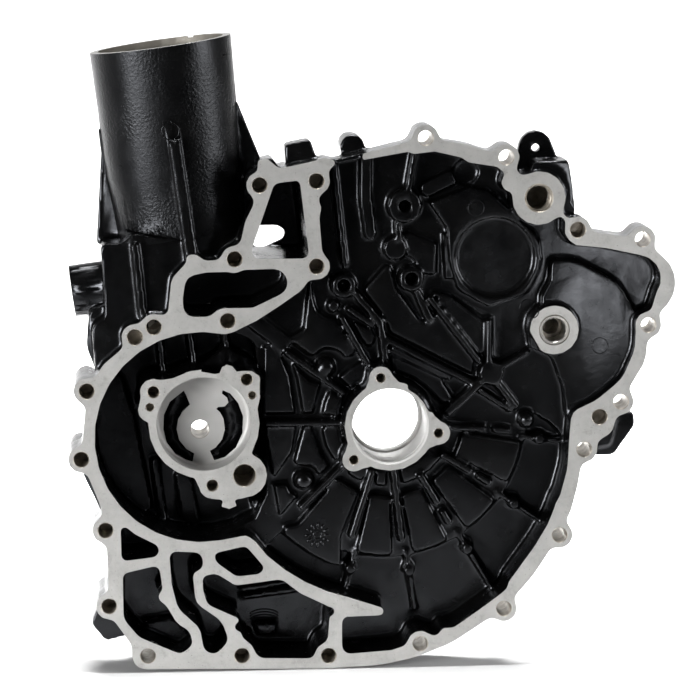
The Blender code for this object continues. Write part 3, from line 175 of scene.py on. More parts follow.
# The tube swells to its left: how far at these heights, what share of it across the tube, and where it fades
SWELL_HEIGHTS = (74.0, 88.0, 137.0, 177.0, 212.0)
SWELL = (0.0, 5.5, 6.0, 3.1, 1.0)
SWELL_ACROSS = (-34.0, -20.0, -8.0)
SWELL_SHARES = (1.0, 0.6, 0.0)
SWELL_FADE = 6.0

# The tube's coarse paint starts this far above its foot and reaches this far from its cone. Its border is cut
# into the skin left of this x and above this z
COARSE_FROM = 12.0
COARSE_REACH = 7.0
COARSE_LEFT_OF = -70.0
COARSE_ABOVE = 70.0

# Finishes of the casting's faces, in the order of its materials
PAINT, MILLED, BORED, DRILLED, BARE, COARSE = range(6)
SHARP_ANGLE = 28.0

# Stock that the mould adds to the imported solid: outlines in x and z, with a front and a back depth
WEBS = [
    # the bar over the box and the small lug's foot
    ([(-77.3, 140.6), (-74.8, 137.4), (-63.8, 136.9), (-51.8, 138.4), (-38.8, 142.4), (-39.8, 149.9),
      (-44.8, 148.6), (-60.8, 145.2), (-73.8, 142.4)], -4.0, 12.0),
    # the lug's bright ledge
    ([(-73.8, 142.2), (-60.8, 144.9), (-63.8, 146.8), (-68.3, 150.6), (-73.3, 149.9)], -4.0, 8.0),
    # what fills the crevice between the tube and the box
    ([(-83.0, 115.0), (-75.0, 115.0), (-75.0, 125.0), (-83.0, 125.0)], 33.0, 46.0),
    # the pad under the date dial
    ([(-58.3, -60.1), (-48.1, -58.1), (-26.9, -58.8), (-26.9, -83.1), (-33.0, -81.8), (-42.6, -76.8),
      (-53.5, -68.8), (-58.3, -64.9)], 14.5, 30.0),
    # the upper step in the sump
    ([(-82.9, -96.6), (-56.3, -92.5), (-52.9, -94.9), (-82.5, -99.3)], 24.0, 40.0),
    # the lower step in the sump
    ([(-82.1, -102.7), (-46.9, -98.0), (-45.5, -101.0), (-81.7, -105.4)], 31.0, 40.0),
    # the block under the steps
    ([(-74.9, -119.4), (-61.9, -119.0), (-63.5, -125.9), (-72.5, -126.2)], 30.0, 40.0),
    # the step in the left gallery
    ([(-138.8, -116.9), (-123.0, -114.7), (-118.9, -116.6), (-112.0, -126.0), (-116.1, -129.7),
      (-129.9, -126.5)], 27.0, 40.0),
]

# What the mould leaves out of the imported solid, in the same form
CUTS = [
    # above the pump housing
    ([(-105.3, 31.7), (-97.8, 30.3), (-95.1, 30.8), (-93.7, 34.1), (-91.0, 35.5), (-88.0, 34.5),
      (-85.6, 31.5), (-81.2, 31.9), (-77.1, 31.7), (-73.1, 28.9), (-71.3, 24.2), (-69.0, 24.2),
      (-69.0, 42.1), (-105.3, 42.1)], -6.0, 22.0),
    # below its lower lobe
    ([(-96.4, -42.2), (-94.0, -45.2), (-90.1, -46.4), (-86.7, -45.0), (-83.9, -41.9), (-83.1, -52.9),
      (-97.1, -52.9)], -6.0, 22.0),
    # beside the lug at the upper right
    ([(98.2, 154.6), (98.6, 149.5), (100.6, 145.5), (102.7, 132.3), (103.6, 119.1), (104.4, 115.9),
      (113.4, 115.9), (113.4, 154.6)], 6.0, 90.0),
    # the two ports in the pump's floor
    ([(-114.6, 18.1), (-122.5, 11.9), (-125.9, 4.4), (-126.3, -3.9), (-124.5, -11.4), (-119.7, -17.9),
      (-113.5, -21.4), (-110.0, -22.4), (-109.0, -17.9), (-113.5, -15.1), (-117.4, -10.0), (-118.8, -3.9),
      (-117.9, 1.9), (-115.2, 6.4), (-111.2, 10.2), (-113.5, 16.1)], 15.0, 30.0),
    ([(-92.7, 18.1), (-88.5, 16.2), (-84.0, 10.6), (-81.3, 3.0), (-81.7, -6.6), (-85.4, -14.8),
      (-91.6, -20.1), (-97.7, -22.0), (-100.1, -16.5), (-96.8, -14.6), (-93.2, -10.0), (-91.6, -4.5),
      (-92.3, 1.6), (-94.3, 5.5), (-96.4, 7.4), (-95.4, 8.5), (-91.6, 8.8), (-89.5, 11.0), (-90.2, 13.7),
      (-93.2, 16.2)], 15.0, 30.0),
]

# Thin cast marks: x, z and radius of the ejector circles, the dial's ring and ticks, and the arcs in the sump
EJECTOR_MARKS = [(49.2, 121.1, 4.5), (79.5, 63.8, 4.1), (119.6, 42.6, 4.5), (-121.3, 165.8, 4.8)]
DATE_DIAL = (-39.8, -64.9)
DIAL_RING = 2.2
DIAL_TICK = (3.6, 3.9, 5.5, 7.0, 7.3)
DIAL_STEP = 30
SUMP_ARCS = [(-69.0, -119.6), (-69.0, -118.0), (-69.0, -116.4)]
SUMP_ARC_SIZE = (8.4, 3.6)
SUMP_ARC_ANGLES = (12, 168)


# Shapes


def mesh_from_arrays(name, points, faces):
    mesh = bpy.data.meshes.new(name)
    mesh.from_pydata(points.tolist(), [], faces)
    mesh.update()
    return mesh


def new_piece(name, mesh, material):
    mesh.materials.append(material)
    mesh.shade_smooth()
    piece = bpy.data.objects.new(name, mesh)
    bpy.context.scene.collection.objects.link(piece)
    return piece


def faces_out(mesh):
    """Turns every face of a closed form outwards."""
    form = bmesh.new()
    form.from_mesh(mesh)
    bmesh.ops.recalc_face_normals(form, faces=form.faces)
    form.to_mesh(mesh)
    form.free()


def grid_faces(rows, columns):
    """The quads between the points of a grid that is stored row by row."""
    index = np.arange(rows * columns).reshape(rows, columns)
    corners = [index[:-1, :-1], index[:-1, 1:], index[1:, 1:], index[1:, :-1]]
    return np.stack(corners, axis=-1).reshape(-1, 4).tolist()


def lathe(profile, segments):
    """Closed surface of revolution about local Z.

    The point at profile index i and turn t is (r_i cos t, r_i sin t, h_i). The profile starts and ends on the
    axis, where one point closes the cap.
    """
    profile = np.array(profile, float)
    rings = profile[1:-1]
    turns = np.linspace(0, 2 * np.pi, segments, endpoint=False)
    grid = np.stack([
        rings[:, :1] * np.cos(turns), rings[:, :1] * np.sin(turns), np.repeat(rings[:, 1:], segments, axis=1),
    ], axis=-1).reshape(-1, 3)
    points = np.vstack([grid, (0, 0, profile[0, 1]), (0, 0, profile[-1, 1])])
    index = np.arange(len(rings) * segments).reshape(len(rings), segments)
    ahead = np.roll(index, -1, axis=1)
    walls = np.stack([index[:-1], ahead[:-1], ahead[1:], index[1:]], axis=-1).reshape(-1, 4)
    first, last = len(grid), len(grid) + 1
    start = np.stack([np.full(segments, first), ahead[0], index[0]], axis=-1)
    end = np.stack([np.full(segments, last), index[-1], ahead[-1]], axis=-1)
    return points, walls.tolist() + start.tolist() + end.tolist()


def into_depth(centre, depth=0.0):
    """Turns local Z into the casting's depth (+Y) and puts the origin at a point of a face."""
    return Matrix.Translation(Vector((centre[0], depth, centre[1]))) @ Matrix.Rotation(-math.pi / 2, 4, "X")


def leaning(root, lean, length):
    """Local Z runs up a round spigot that leans about Y; the origin is at its mouth."""
    place = Matrix.Translation(Vector(root)) @ Matrix.Rotation(math.radians(-lean), 4, "Y")
    return place @ Matrix.Translation(Vector((0, 0, length)))


def prism(outline, low, high):
    """A straight solid on a closed outline: points (x, y, low) and (x, y, high)."""
    outline = np.array(outline, float)
    ahead = np.roll(outline, -1, axis=0)
    if (outline[:, 0] * ahead[:, 1] - ahead[:, 0] * outline[:, 1]).sum() < 0:
        outline = outline[::-1]
    count = len(outline)
    points = np.vstack([np.column_stack([outline, np.full(count, height)]) for height in (low, high)])
    sides = [(i, (i + 1) % count, count + (i + 1) % count, count + i) for i in range(count)]
    return points, [tuple(range(count))[::-1], tuple(range(count, 2 * count))] + sides


def placed(points, place):
    """Puts local points in their place, in metres."""
    matrix = np.array(place)
    return (points @ matrix[:3, :3].T + matrix[:3, 3]) * MM


def tool(name, profile, place, segments=64):
    """A machining tool: a turned solid with its faces out."""
    points, faces = lathe(profile, segments)
    mesh = mesh_from_arrays(name, placed(points, place), faces)
    faces_out(mesh)
    return mesh


def drill(name, centre, radius, front, back, chamfer=EDGE_BREAK, segments=48):
    """A drilled hole with a chamfer at its mouth."""
    length = back - front
    wide = radius + chamfer + REACH
    profile = [(0, -REACH), (wide, -REACH), (radius, chamfer), (radius, length), (0, length)]
    return tool(name, profile, into_depth(centre, front), segments)


# The casting


def closed_holes():
    """Centre and radius of every hole that is closed before the cast blends, and cut again after them."""
    holes = [(centre, BOLT_RADIUS) for centre in BLIND_HOLES + THROUGH_HOLES]
    holes += [(centre, DOWEL_RADIUS) for centre in DOWEL_HOLES]
    holes += [(ear_at(angle), EAR_HOLE_RADIUS) for angle in EAR_ANGLES]
    holes += [(centre, PUMP_SCREW_RADIUS) for centre in PUMP_SCREWS]
    holes += [(centre, PUMP_PIN_RADIUS) for centre in PUMP_PINS]
    holes += [(centre, radius) for centre, radius, _, _ in CORED_BOSSES]
    holes += [((0.0, 0.0), CRANK_RADIUS), (IDLER_AT, IDLER_BORE_RADIUS), (PORT_AT, PORT_RADIUS)]
    holes += [(PUMP_SHAFT_AT, PUMP_SHAFT_RADIUS), (PUMP_OUTLET, PUMP_OUTLET_RADIUS)]
    return holes


def ear_at(angle):
    return EAR_CIRCLE * math.cos(math.radians(angle)), EAR_CIRCLE * math.sin(math.radians(angle))


def close_hole(form, centre, radius):
    """Takes out the faces that lie wholly within a hole's radius and caps the loops that are left."""
    inside = set()
    for vert in form.verts:
        if math.hypot(vert.co.x / MM - centre[0], vert.co.z / MM - centre[1]) < radius + 0.02:
            inside.add(vert)
    faces = [face for face in form.faces if all(vert in inside for vert in face.verts)]
    if not faces:
        return
    bmesh.ops.delete(form, geom=faces, context="FACES")
    rims = [edge for edge in form.edges if edge.is_boundary]
    bmesh.ops.holes_fill(form, edges=rims, sides=0)
    loose = [vert for vert in form.verts if not vert.link_faces]
    bmesh.ops.delete(form, geom=loose, context="VERTS")


def add_stock(mesh):
    """Moves the faces that are machined later outwards, so that a crisp tool can take the stock off."""
    co = np.zeros(len(mesh.vertices) * 3, np.float32)
    mesh.vertices.foreach_get("co", co)
    co = co.reshape(-1, 3).astype(float) / MM
    x, y, z = co.T.copy()
    from_pump = np.hypot(x - PUMP_AT[0], z - PUMP_AT[1])
    from_pocket = np.hypot(x - POCKET_AT[0], z - POCKET_AT[1])
    from_idler = np.hypot(x - IDLER_AT[0], z - IDLER_AT[1])
    wall = (abs(from_pump - PUMP_RADIUS) < 0.25) & (y < PUMP_WALL_END)
    for axis, centre in ((0, PUMP_AT[0]), (2, PUMP_AT[1])):
        co[wall, axis] = centre + (co[wall, axis] - centre) * (PUMP_RADIUS - PUMP_WALL_STOCK) / PUMP_RADIUS
    floor = (abs(y - PUMP_FLOOR) < ON_PLANE) & (from_pump < PUMP_RADIUS)
    co[floor, 1] = PUMP_FLOOR - PUMP_FLOOR_STOCK
    co[abs(y) < ON_PLANE, 1] = -STOCK
    co[(abs(y - PUMP_FACE) < ON_PLANE) & (from_pocket < POCKET_REACH), 1] = PUMP_FACE - STOCK
    co[(abs(y - IDLER_FACE) < ON_PLANE) & (from_idler < IDLER_FACE_REACH), 1] = IDLER_FACE - STOCK
    for place, radius in ((tube_mouth, TUBE_RIM_RADIUS), (spout_mouth, SPOUT_RADIUS)):
        local = local_points(co, place)
        rim = (abs(local[:, 2]) < 0.05) & (np.hypot(local[:, 0], local[:, 1]) < radius + 0.5)
        co[rim] += np.array(place.to_3x3() @ Vector((0, 0, STOCK)))
    mesh.vertices.foreach_set("co", (co * MM).astype(np.float32).ravel())
    mesh.update()


def local_points(points, place):
    inverse = np.array(place.inverted())
    return points @ inverse[:3, :3].T + inverse[:3, 3]


tube_mouth = leaning(TUBE_FOOT, TUBE_LEAN, TUBE_LENGTH)
spout_mouth = leaning(SPOUT_ROOT, 90 + TUBE_LEAN, SPOUT_LENGTH)


def tube_radius(down):
    """Outer radius of the tapered tube at a distance below its rim."""
    return TUBE_RIM_RADIUS - (TUBE_RIM_RADIUS - TUBE_FOOT_RADIUS) * down / TUBE_LENGTH


def round_spigots(mesh):
    """Lays the outer skin of the tube and of the spout on true cones, and lets the tube swell to its left."""
    co = np.zeros(len(mesh.vertices) * 3)
    mesh.vertices.foreach_get("co", co)
    co = co.reshape(-1, 3) / MM
    spigots = [
        (tube_mouth, TUBE_LENGTH, TUBE_RIM_RADIUS, TUBE_FOOT_RADIUS),
        (spout_mouth, SPOUT_LENGTH, SPOUT_RADIUS, SPOUT_RADIUS),
    ]
    for place, length, mouth_radius, foot_radius in spigots:
        local = local_points(co, place)
        radius = np.hypot(local[:, 0], local[:, 1])
        true = mouth_radius + (mouth_radius - foot_radius) * local[:, 2] / length
        rib_head = (local[:, 1] < RIB_SIDE) & (local[:, 2] > RIB_HEAD)
        proud = radius - true
        skin = (proud > -CONE_REACH) & (proud < np.where(rib_head, RIB_REACH, CONE_REACH))
        skin &= (local[:, 2] > FOOT_MARGIN - length) & (local[:, 2] < STOCK + 1)
        stretch = np.where(skin, true / np.maximum(radius, 1), 1.0)
        local[:, :2] *= stretch[:, None]
        matrix = np.array(place)
        co = local @ matrix[:3, :3].T + matrix[:3, 3]
    local = local_points(co, tube_mouth)
    beyond = np.hypot(local[:, 0], local[:, 1]) - tube_radius(-local[:, 2])
    swell = np.interp(co[:, 2], SWELL_HEIGHTS, SWELL)
    swell *= np.interp(local[:, 0], SWELL_ACROSS, SWELL_SHARES) * np.clip(1 - beyond / SWELL_FADE, 0, 1)
    co[:, 0] -= swell
    mesh.vertices.foreach_set("co", (co * MM).ravel())
    mesh.update()


def across_depth(outline, front, back):
    """A prism on an outline in x and z, from a front depth to a back depth."""
    points, faces = prism(outline, -back, -front)
    return placed(points, Matrix.Rotation(math.pi / 2, 4, "X")), faces


def extra_stock():
    """Small solids that overlap the casting and grow into it.

    They are the webs, a disc that closes the pump's floor, and an arc that closes the notch in the rim.
    """
    solids = [across_depth(*web) for web in WEBS]
    turns = np.linspace(0, 2 * np.pi, 64, endpoint=False)
    radius = PUMP_RADIUS - PUMP_WALL_STOCK
    disc = np.column_stack([PUMP_AT[0] + radius * np.cos(turns), PUMP_AT[1] + radius * np.sin(turns)])
    solids.append(across_depth(disc, PUMP_FLOOR - PUMP_FLOOR_STOCK, PUMP_FLOOR_BACK))
    turns = np.radians(np.linspace(*RIM_ARC_ANGLES, 8))
    arc = np.column_stack([np.cos(turns), np.sin(turns)])
    outer, inner = RIM_ARC_RADII
    points, faces = prism(np.vstack([outer * arc, inner * arc[::-1]]), -RIM_ARC_DEPTH, STOCK)
    solids.append((placed(points, tube_mouth), faces))
    return solids


def rough_casting():
    """The casting as it leaves the mould: blended corners, and stock on the faces to be machined."""
    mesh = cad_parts["cover_casting"].data.copy()
    form = bmesh.new()
    form.from_mesh(mesh)
    bmesh.ops.remove_doubles(form, verts=form.verts, dist=MERGE * MM)
    for centre, radius in closed_holes():
        close_hole(form, centre, radius)
    form.to_mesh(mesh)
    form.free()
    add_stock(mesh)
    form = bmesh.new()
    form.from_mesh(mesh)
    for points, faces in extra_stock():
        verts = [form.verts.new(point) for point in points]
        for face in faces:
            form.faces.new([verts[i] for i in face])
    form.to_mesh(mesh)
    form.free()
    mesh.materials.clear()
    casting = bpy.data.objects.new("casting", mesh)
    bpy.context.scene.collection.objects.link(casting)
    remesh = casting.modifiers.new("Mould", "REMESH")
    remesh.mode = "VOXEL"
    remesh.voxel_size = VOXEL * MM
    blend = casting.modifiers.new("Blends", "SMOOTH")
    blend.factor = 0.5
    blend.iterations = BLEND_STEPS
    apply_modifiers(casting)
    round_spigots(casting.data)
    thin = casting.modifiers.new("Thin", "DECIMATE")
    thin.ratio = min(1.0, CAST_TRIANGLES / (2 * len(casting.data.polygons)))
    apply_modifiers(casting)
    return casting


def apply_modifiers(piece):
    bpy.context.view_layer.update()
    mesh = bpy.data.meshes.new_from_object(piece.evaluated_get(bpy.context.evaluated_depsgraph_get()))
    old = piece.data
    piece.modifiers.clear()
    piece.data = mesh
    bpy.data.meshes.remove(old)


def facing_cut(radius, low, high=0.0):
    """Profile of the round cut that faces a boss or an end."""
    return [(0, low), (radius, low), (radius, high), (0, high)]


def machining_tools():
    """Every crisp cut of the machined casting, and what the mould leaves out."""
    tools = []
    for centre in BLIND_HOLES:
        tools.append(drill("bolt_hole", centre, BOLT_RADIUS, 0.0, BLIND_DEPTH))
    for centre in THROUGH_HOLES:
        tools.append(drill("bolt_hole", centre, BOLT_RADIUS, 0.0, THROUGH_DEPTH))
    for centre in DOWEL_HOLES:
        tools.append(drill("dowel_hole", centre, DOWEL_RADIUS, 0.0, DOWEL_DEPTH))
    for angle in EAR_ANGLES:
        tools.append(drill("ear_hole", ear_at(angle), EAR_HOLE_RADIUS, 0.0, EAR_HOLE_DEPTH))
    back = PUMP_FACE + PUMP_SCREW_DEPTH
    for centre in PUMP_SCREWS:
        tools.append(drill("pump_screw_hole", centre, PUMP_SCREW_RADIUS, PUMP_FACE, back))
    back = PUMP_FACE + PUMP_PIN_DEPTH
    for centre in PUMP_PINS:
        tools.append(drill("pump_pin_hole", centre, PUMP_PIN_RADIUS, PUMP_FACE, back))
    for centre, radius, front, depth in CORED_BOSSES:
        tools.append(drill("cored_hole", centre, radius, front, front + depth, CORED_CHAMFER))
    back = PUMP_FLOOR + PUMP_SHAFT_DEPTH
    tools.append(drill("pump_shaft_hole", PUMP_SHAFT_DRILLED, PUMP_SHAFT_RADIUS, PUMP_FLOOR, back))
    back = PUMP_FACE + PUMP_OUTLET_DEPTH
    tools.append(drill("pump_outlet", PUMP_OUTLET, PUMP_OUTLET_RADIUS, PUMP_FACE, back))
    crank = [
        (0, -REACH), (CRANK_RADIUS + CRANK_CHAMFER + REACH, -REACH), (CRANK_RADIUS, CRANK_CHAMFER),
        *((CRANK_RADIUS + extra, depth) for depth, extra in CRANK_GROOVE), (CRANK_RADIUS, CRANK_LIP_AT),
        (CRANK_LIP_RADIUS + CRANK_LIP_CHAMFER, CRANK_LIP_AT),
        (CRANK_LIP_RADIUS, CRANK_LIP_AT + CRANK_LIP_CHAMFER),
        (CRANK_LIP_RADIUS, CRANK_END + 2), (0, CRANK_END + 2),
    ]
    tools.append(tool("crank_bore", crank, into_depth((0, 0)), 128))
    corner = [
        (PUMP_RADIUS + PUMP_CORNER * (math.sin(turn) - 1), PUMP_FLOOR + PUMP_CORNER * (math.cos(turn) - 1))
        for turn in np.radians(np.linspace(90, 0, 7))
    ]
    pocket = [(0, -5), (PUMP_RADIUS, -5), *corner, (0, PUMP_FLOOR)]
    tools.append(tool("pump_pocket", pocket, into_depth(PUMP_AT), 128))
    tools.append(tool("pump_face", facing_cut(POCKET_REACH, -9), into_depth(POCKET_AT, PUMP_FACE)))
    tools.append(tool("idler_face", facing_cut(IDLER_FACE_REACH, -9), into_depth(IDLER_AT, IDLER_FACE)))
    seat = IDLER_FACE + BUSH_LENGTH + BUSH_GAP
    idler = [
        (0, -5), (IDLER_BORE_RADIUS, -5), (IDLER_BORE_RADIUS, seat), (IDLER_THROAT_RADIUS, seat),
        (IDLER_THROAT_RADIUS, IDLER_END), (0, IDLER_END),
    ]
    tools.append(tool("idler_bore", idler, into_depth(IDLER_AT), 96))
    tools.append(drill("port", PORT_AT, PORT_RADIUS, 0.0, PORT_DEPTH, PORT_CHAMFER, 96))
    tools.append(tool("tube_end", facing_cut(TUBE_RIM_RADIUS + 4, TUBE_RISE, 9), tube_mouth))
    points, faces = prism(TUBE_NOTCH, TUBE_RISE - NOTCH_DEPTH, 9)
    tools.append(mesh_from_arrays("tube_notch", placed(points, tube_mouth), faces))
    tools.append(tool("spout_end", facing_cut(SPOUT_RADIUS + 4, 0, 9), spout_mouth))
    tools += [mesh_from_arrays("mould_cut", *across_depth(*cut)) for cut in CUTS]
    across, deep, upward = JOINT_CUT
    corners = np.array([[x, y, z] for x in across for y in deep for z in upward])
    sides = [(0, 1, 3, 2), (4, 6, 7, 5), (0, 4, 5, 1), (2, 3, 7, 6), (0, 2, 6, 4), (1, 5, 7, 3)]
    tools.append(mesh_from_arrays("joint_face", corners * MM, sides))
    return tools


def machine(casting):
    """Cuts every machined face out of the rough casting."""
    tools = bpy.data.collections.new("machining_tools")
    bpy.context.scene.collection.children.link(tools)
    shapes = []
    for mesh in machining_tools():
        shape = bpy.data.objects.new(mesh.name, mesh)
        tools.objects.link(shape)
        shapes.append(shape)
    cut = casting.modifiers.new("Machining", "BOOLEAN")
    cut.operation = "DIFFERENCE"
    cut.operand_type = "COLLECTION"
    cut.collection = tools
    cut.solver = "MANIFOLD"
    apply_modifiers(casting)
    for shape in shapes:
        bpy.data.objects.remove(shape)
    bpy.data.collections.remove(tools)


def drop_folds(form, same):
    """Deletes faces that share all their corners with another face, or that have fewer than three."""
    stacks = {}
    for face in form.faces:
        corners = frozenset(same.get(vert, vert) for vert in face.verts)
        stacks.setdefault(corners, []).append(face)
    folds = []
    for corners, stack in stacks.items():
        if len(stack) > 1 or len(corners) < 3:
            folds += stack
    bmesh.ops.delete(form, geom=folds, context="FACES_ONLY")


def close_up(mesh):
    """Merges the doubled corners that the cuts leave and takes out the flat folds between them.

    A fold is a pair of faces on one set of corners, so both go and the skin around them stays whole. The skin
    is also cut along the plane where the tube's coarse paint starts.
    """
    form = bmesh.new()
    form.from_mesh(mesh)
    bmesh.ops.triangulate(form, faces=form.faces)
    same = bmesh.ops.find_doubles(form, verts=form.verts, dist=MERGE * MM)["targetmap"]
    drop_folds(form, same)
    bmesh.ops.weld_verts(form, targetmap=same)
    drop_folds(form, {})
    edges = [edge for edge in form.edges if not edge.link_faces]
    bmesh.ops.delete(form, geom=edges, context="EDGES")
    loose = [vert for vert in form.verts if not vert.link_faces]
    bmesh.ops.delete(form, geom=loose, context="VERTS")
    around = [
        vert for vert in form.verts if vert.co.x < COARSE_LEFT_OF * MM and vert.co.z > COARSE_ABOVE * MM
    ]
    faces = list({face for vert in around for face in vert.link_faces})
    edges = list({edge for face in faces for edge in face.edges})
    verts = list({vert for face in faces for vert in face.verts})
    start = tube_mouth @ Vector((0, 0, COARSE_FROM - TUBE_LENGTH)) * MM
    along = tube_mouth.to_3x3().col[2]
    bmesh.ops.bisect_plane(form, geom=verts + edges + faces, plane_co=start, plane_no=along)
    form.to_mesh(mesh)
    form.free()


def surface_kinds(mesh):
    """Each face's finish, by where the face lies. A bored or drilled face has all its corners in its hole."""
    count = len(mesh.polygons)
    centre = np.zeros(count * 3)
    normal = np.zeros(count * 3)
    mesh.polygons.foreach_get("center", centre)
    mesh.polygons.foreach_get("normal", normal)
    centre = centre.reshape(-1, 3) / MM
    normal = normal.reshape(-1, 3)
    x, y, z = centre.T
    corner = np.zeros(len(mesh.loops), np.int32)
    first = np.zeros(count, np.int32)
    vert = np.zeros(len(mesh.vertices) * 3)
    mesh.loops.foreach_get("vertex_index", corner)
    mesh.polygons.foreach_get("loop_start", first)
    mesh.vertices.foreach_get("co", vert)
    vert = vert.reshape(-1, 3) / MM

    def farthest(axis):
        """How far each face's farthest corner is from an axis along the depth."""
        return np.maximum.reduceat(np.hypot(vert[:, 0] - axis[0], vert[:, 2] - axis[1])[corner], first)

    kind = np.full(count, PAINT)
    facing = normal[:, 1] < -0.995
    from_pocket = np.hypot(x - POCKET_AT[0], z - POCKET_AT[1])
    from_idler = farthest(IDLER_AT)
    slack = 0.05
    kind[facing & (abs(y) < ON_PLANE)] = MILLED
    kind[facing & (abs(y - PUMP_FACE) < ON_PLANE) & (from_pocket < POCKET_REACH)] = MILLED
    kind[facing & (abs(y - IDLER_FACE) < ON_PLANE) & (from_idler < IDLER_FACE_REACH + slack)] = MILLED
    kind[(farthest(PUMP_AT) < PUMP_RADIUS + slack) & (y < PUMP_FLOOR + slack)] = BORED
    kind[(farthest((0, 0)) < CRANK_RADIUS + CRANK_CHAMFER + slack) & (y < CRANK_END + slack)] = BORED
    idler_bore = (from_idler < IDLER_BORE_RADIUS + slack) & (y > IDLER_FACE + slack)
    kind[idler_bore & (y < IDLER_END + slack)] = DRILLED
    port = (farthest(PORT_AT) < PORT_RADIUS + PORT_CHAMFER + 2 * slack) & (y > ON_PLANE)
    kind[port & (y < PORT_DEPTH + slack)] = DRILLED
    drilled = [(hole, BOLT_RADIUS, THROUGH_DEPTH) for hole in BLIND_HOLES + THROUGH_HOLES]
    drilled += [(hole, DOWEL_RADIUS, DOWEL_DEPTH + slack) for hole in DOWEL_HOLES]
    drilled += [(ear_at(angle), EAR_HOLE_RADIUS, EAR_HOLE_DEPTH + slack) for angle in EAR_ANGLES]
    drilled += [(hole, PUMP_SCREW_RADIUS, PUMP_FACE + PUMP_SCREW_DEPTH + slack) for hole in PUMP_SCREWS]
    drilled += [(hole, PUMP_PIN_RADIUS, PUMP_FACE + PUMP_PIN_DEPTH + slack) for hole in PUMP_PINS]
    drilled.append((PUMP_OUTLET, PUMP_OUTLET_RADIUS, PUMP_FACE + PUMP_OUTLET_DEPTH + slack))
    drilled.append((PUMP_SHAFT_DRILLED, PUMP_SHAFT_RADIUS, PUMP_FLOOR + PUMP_SHAFT_DEPTH + slack))
    for hole, radius, depth in drilled:
        near = farthest(hole) < radius + EDGE_BREAK + slack
        kind[near & (y < depth) & ~(facing & (y < ON_PLANE)) & (kind != MILLED)] = DRILLED
    tube = local_points(centre, tube_mouth)
    height = tube[:, 2]
    radius = np.hypot(tube[:, 0], tube[:, 1])
    cone = tube_radius(-height)
    kind[(abs(height - TUBE_RISE) < slack) & (radius < TUBE_RIM_RADIUS + 1)] = MILLED
    skin = (abs(radius - cone) < COARSE_REACH) & (height > COARSE_FROM - TUBE_LENGTH)
    kind[(kind == PAINT) & skin] = COARSE
    axis = np.array(tube_mouth.to_3x3() @ Vector((0, 0, 1)))
    outward = centre - (np.array(tube_mouth.translation) + tube[:, 2:] * axis)
    # the bore's skin lies 1 mm or more within the cone, and beyond it where the tube swells
    inner = (radius < cone + np.where(tube[:, 0] < -5, 2.5, -1.0)) & ((outward * normal).sum(1) < 0)
    kind[inner & (height < TUBE_RISE - slack) & (height > FOOT_MARGIN - TUBE_LENGTH)] = BARE
    return kind


def finished_casting(materials):
    """The machined casting with a material for each finish, in the order of the finishes' numbers."""
    casting = rough_casting()
    machine(casting)
    mesh = casting.data
    close_up(mesh)
    mesh.materials.clear()
    for material in materials:
        mesh.materials.append(material)
    mesh.polygons.foreach_set("material_index", surface_kinds(mesh).astype(np.int32))
    mesh.shade_smooth()
    sharpen(mesh)
    return casting


def sharpen(mesh):
    """Marks the edges between two finishes, and the corners of machined faces, as sharp."""
    form = bmesh.new()
    form.from_mesh(mesh)
    limit = math.radians(SHARP_ANGLE)
    for edge in form.edges:
        finishes = {face.material_index for face in edge.link_faces}
        if len(edge.link_faces) != 2 or finishes <= {PAINT, COARSE}:
            continue
        if len(finishes) == 2 or edge.calc_face_angle(0) > limit:
            edge.smooth = False
    form.to_mesh(mesh)
    form.free()


# Materials


def new_material(name, colour, roughness, metallic):
    material = bpy.data.materials.new(name)
    material.use_nodes = True
    shader = material.node_tree.nodes["Principled BSDF"]
    shader.inputs["Base Color"].default_value = (*colour, 1)
    shader.inputs["Roughness"].default_value = roughness
    shader.inputs["Metallic"].default_value = metallic
    return material


def add(material, kind, settings=None, **inputs):
    """Adds a shader node. An input is a value, or a socket to link."""
    tree = material.node_tree
    node = tree.nodes.new(kind)
    for name, value in (settings or {}).items():
        setattr(node, name, value)
    for name, value in inputs.items():
        socket = node.inputs[name.replace("_", " ")]
        if isinstance(value, bpy.types.NodeSocket):
            tree.links.new(value, socket)
        else:
            socket.default_value = value
    return node


def own_place(material):
    return add(material, "ShaderNodeTexCoord").outputs["Object"]


def noise(material, scale, detail=2.0, roughness=0.5):
    """A noise over the piece's own place, in features per metre."""
    node = add(material, "ShaderNodeTexNoise", Vector=own_place(material), Scale=scale, Detail=detail)
    node.inputs["Roughness"].default_value = roughness
    return node.outputs["Fac"]


def turning_marks(material, scale, distortion):
    """Bands along the depth, as a turning tool leaves them."""
    bands = {"bands_direction": "Y"}
    node = add(material, "ShaderNodeTexWave", bands, Vector=own_place(material), Scale=scale)
    node.inputs["Distortion"].default_value = distortion
    return node.outputs["Fac"]


def between(material, value, low, high, start, end):
    """Maps a value from low..high to start..end, held at both ends."""
    node = add(material, "ShaderNodeMapRange", Value=value)
    for name, number in (("From Min", low), ("From Max", high), ("To Min", start), ("To Max", end)):
        node.inputs[name].default_value = number
    return node.outputs["Result"]


def tint(material, factor, one, other):
    node = add(material, "ShaderNodeMix", {"data_type": "RGBA"})
    material.node_tree.links.new(factor, node.inputs[0])
    for socket, colour in ((node.inputs[6], one), (node.inputs[7], other)):
        if isinstance(colour, bpy.types.NodeSocket):
            material.node_tree.links.new(colour, socket)
        else:
            socket.default_value = (*colour, 1)
    return node.outputs[2]


def bumps(material, layers):
    """Stacks bumps: each layer is a height socket and its height in metres."""
    normal = None
    for height, distance in layers:
        node = add(material, "ShaderNodeBump", Height=height, Distance=distance, Strength=1.0)
        if normal is not None:
            material.node_tree.links.new(normal, node.inputs["Normal"])
        normal = node.outputs["Normal"]
    material.node_tree.links.new(normal, material.node_tree.nodes["Principled BSDF"].inputs["Normal"])


def wire(material, socket, name):
    material.node_tree.links.new(socket, material.node_tree.nodes["Principled BSDF"].inputs[name])


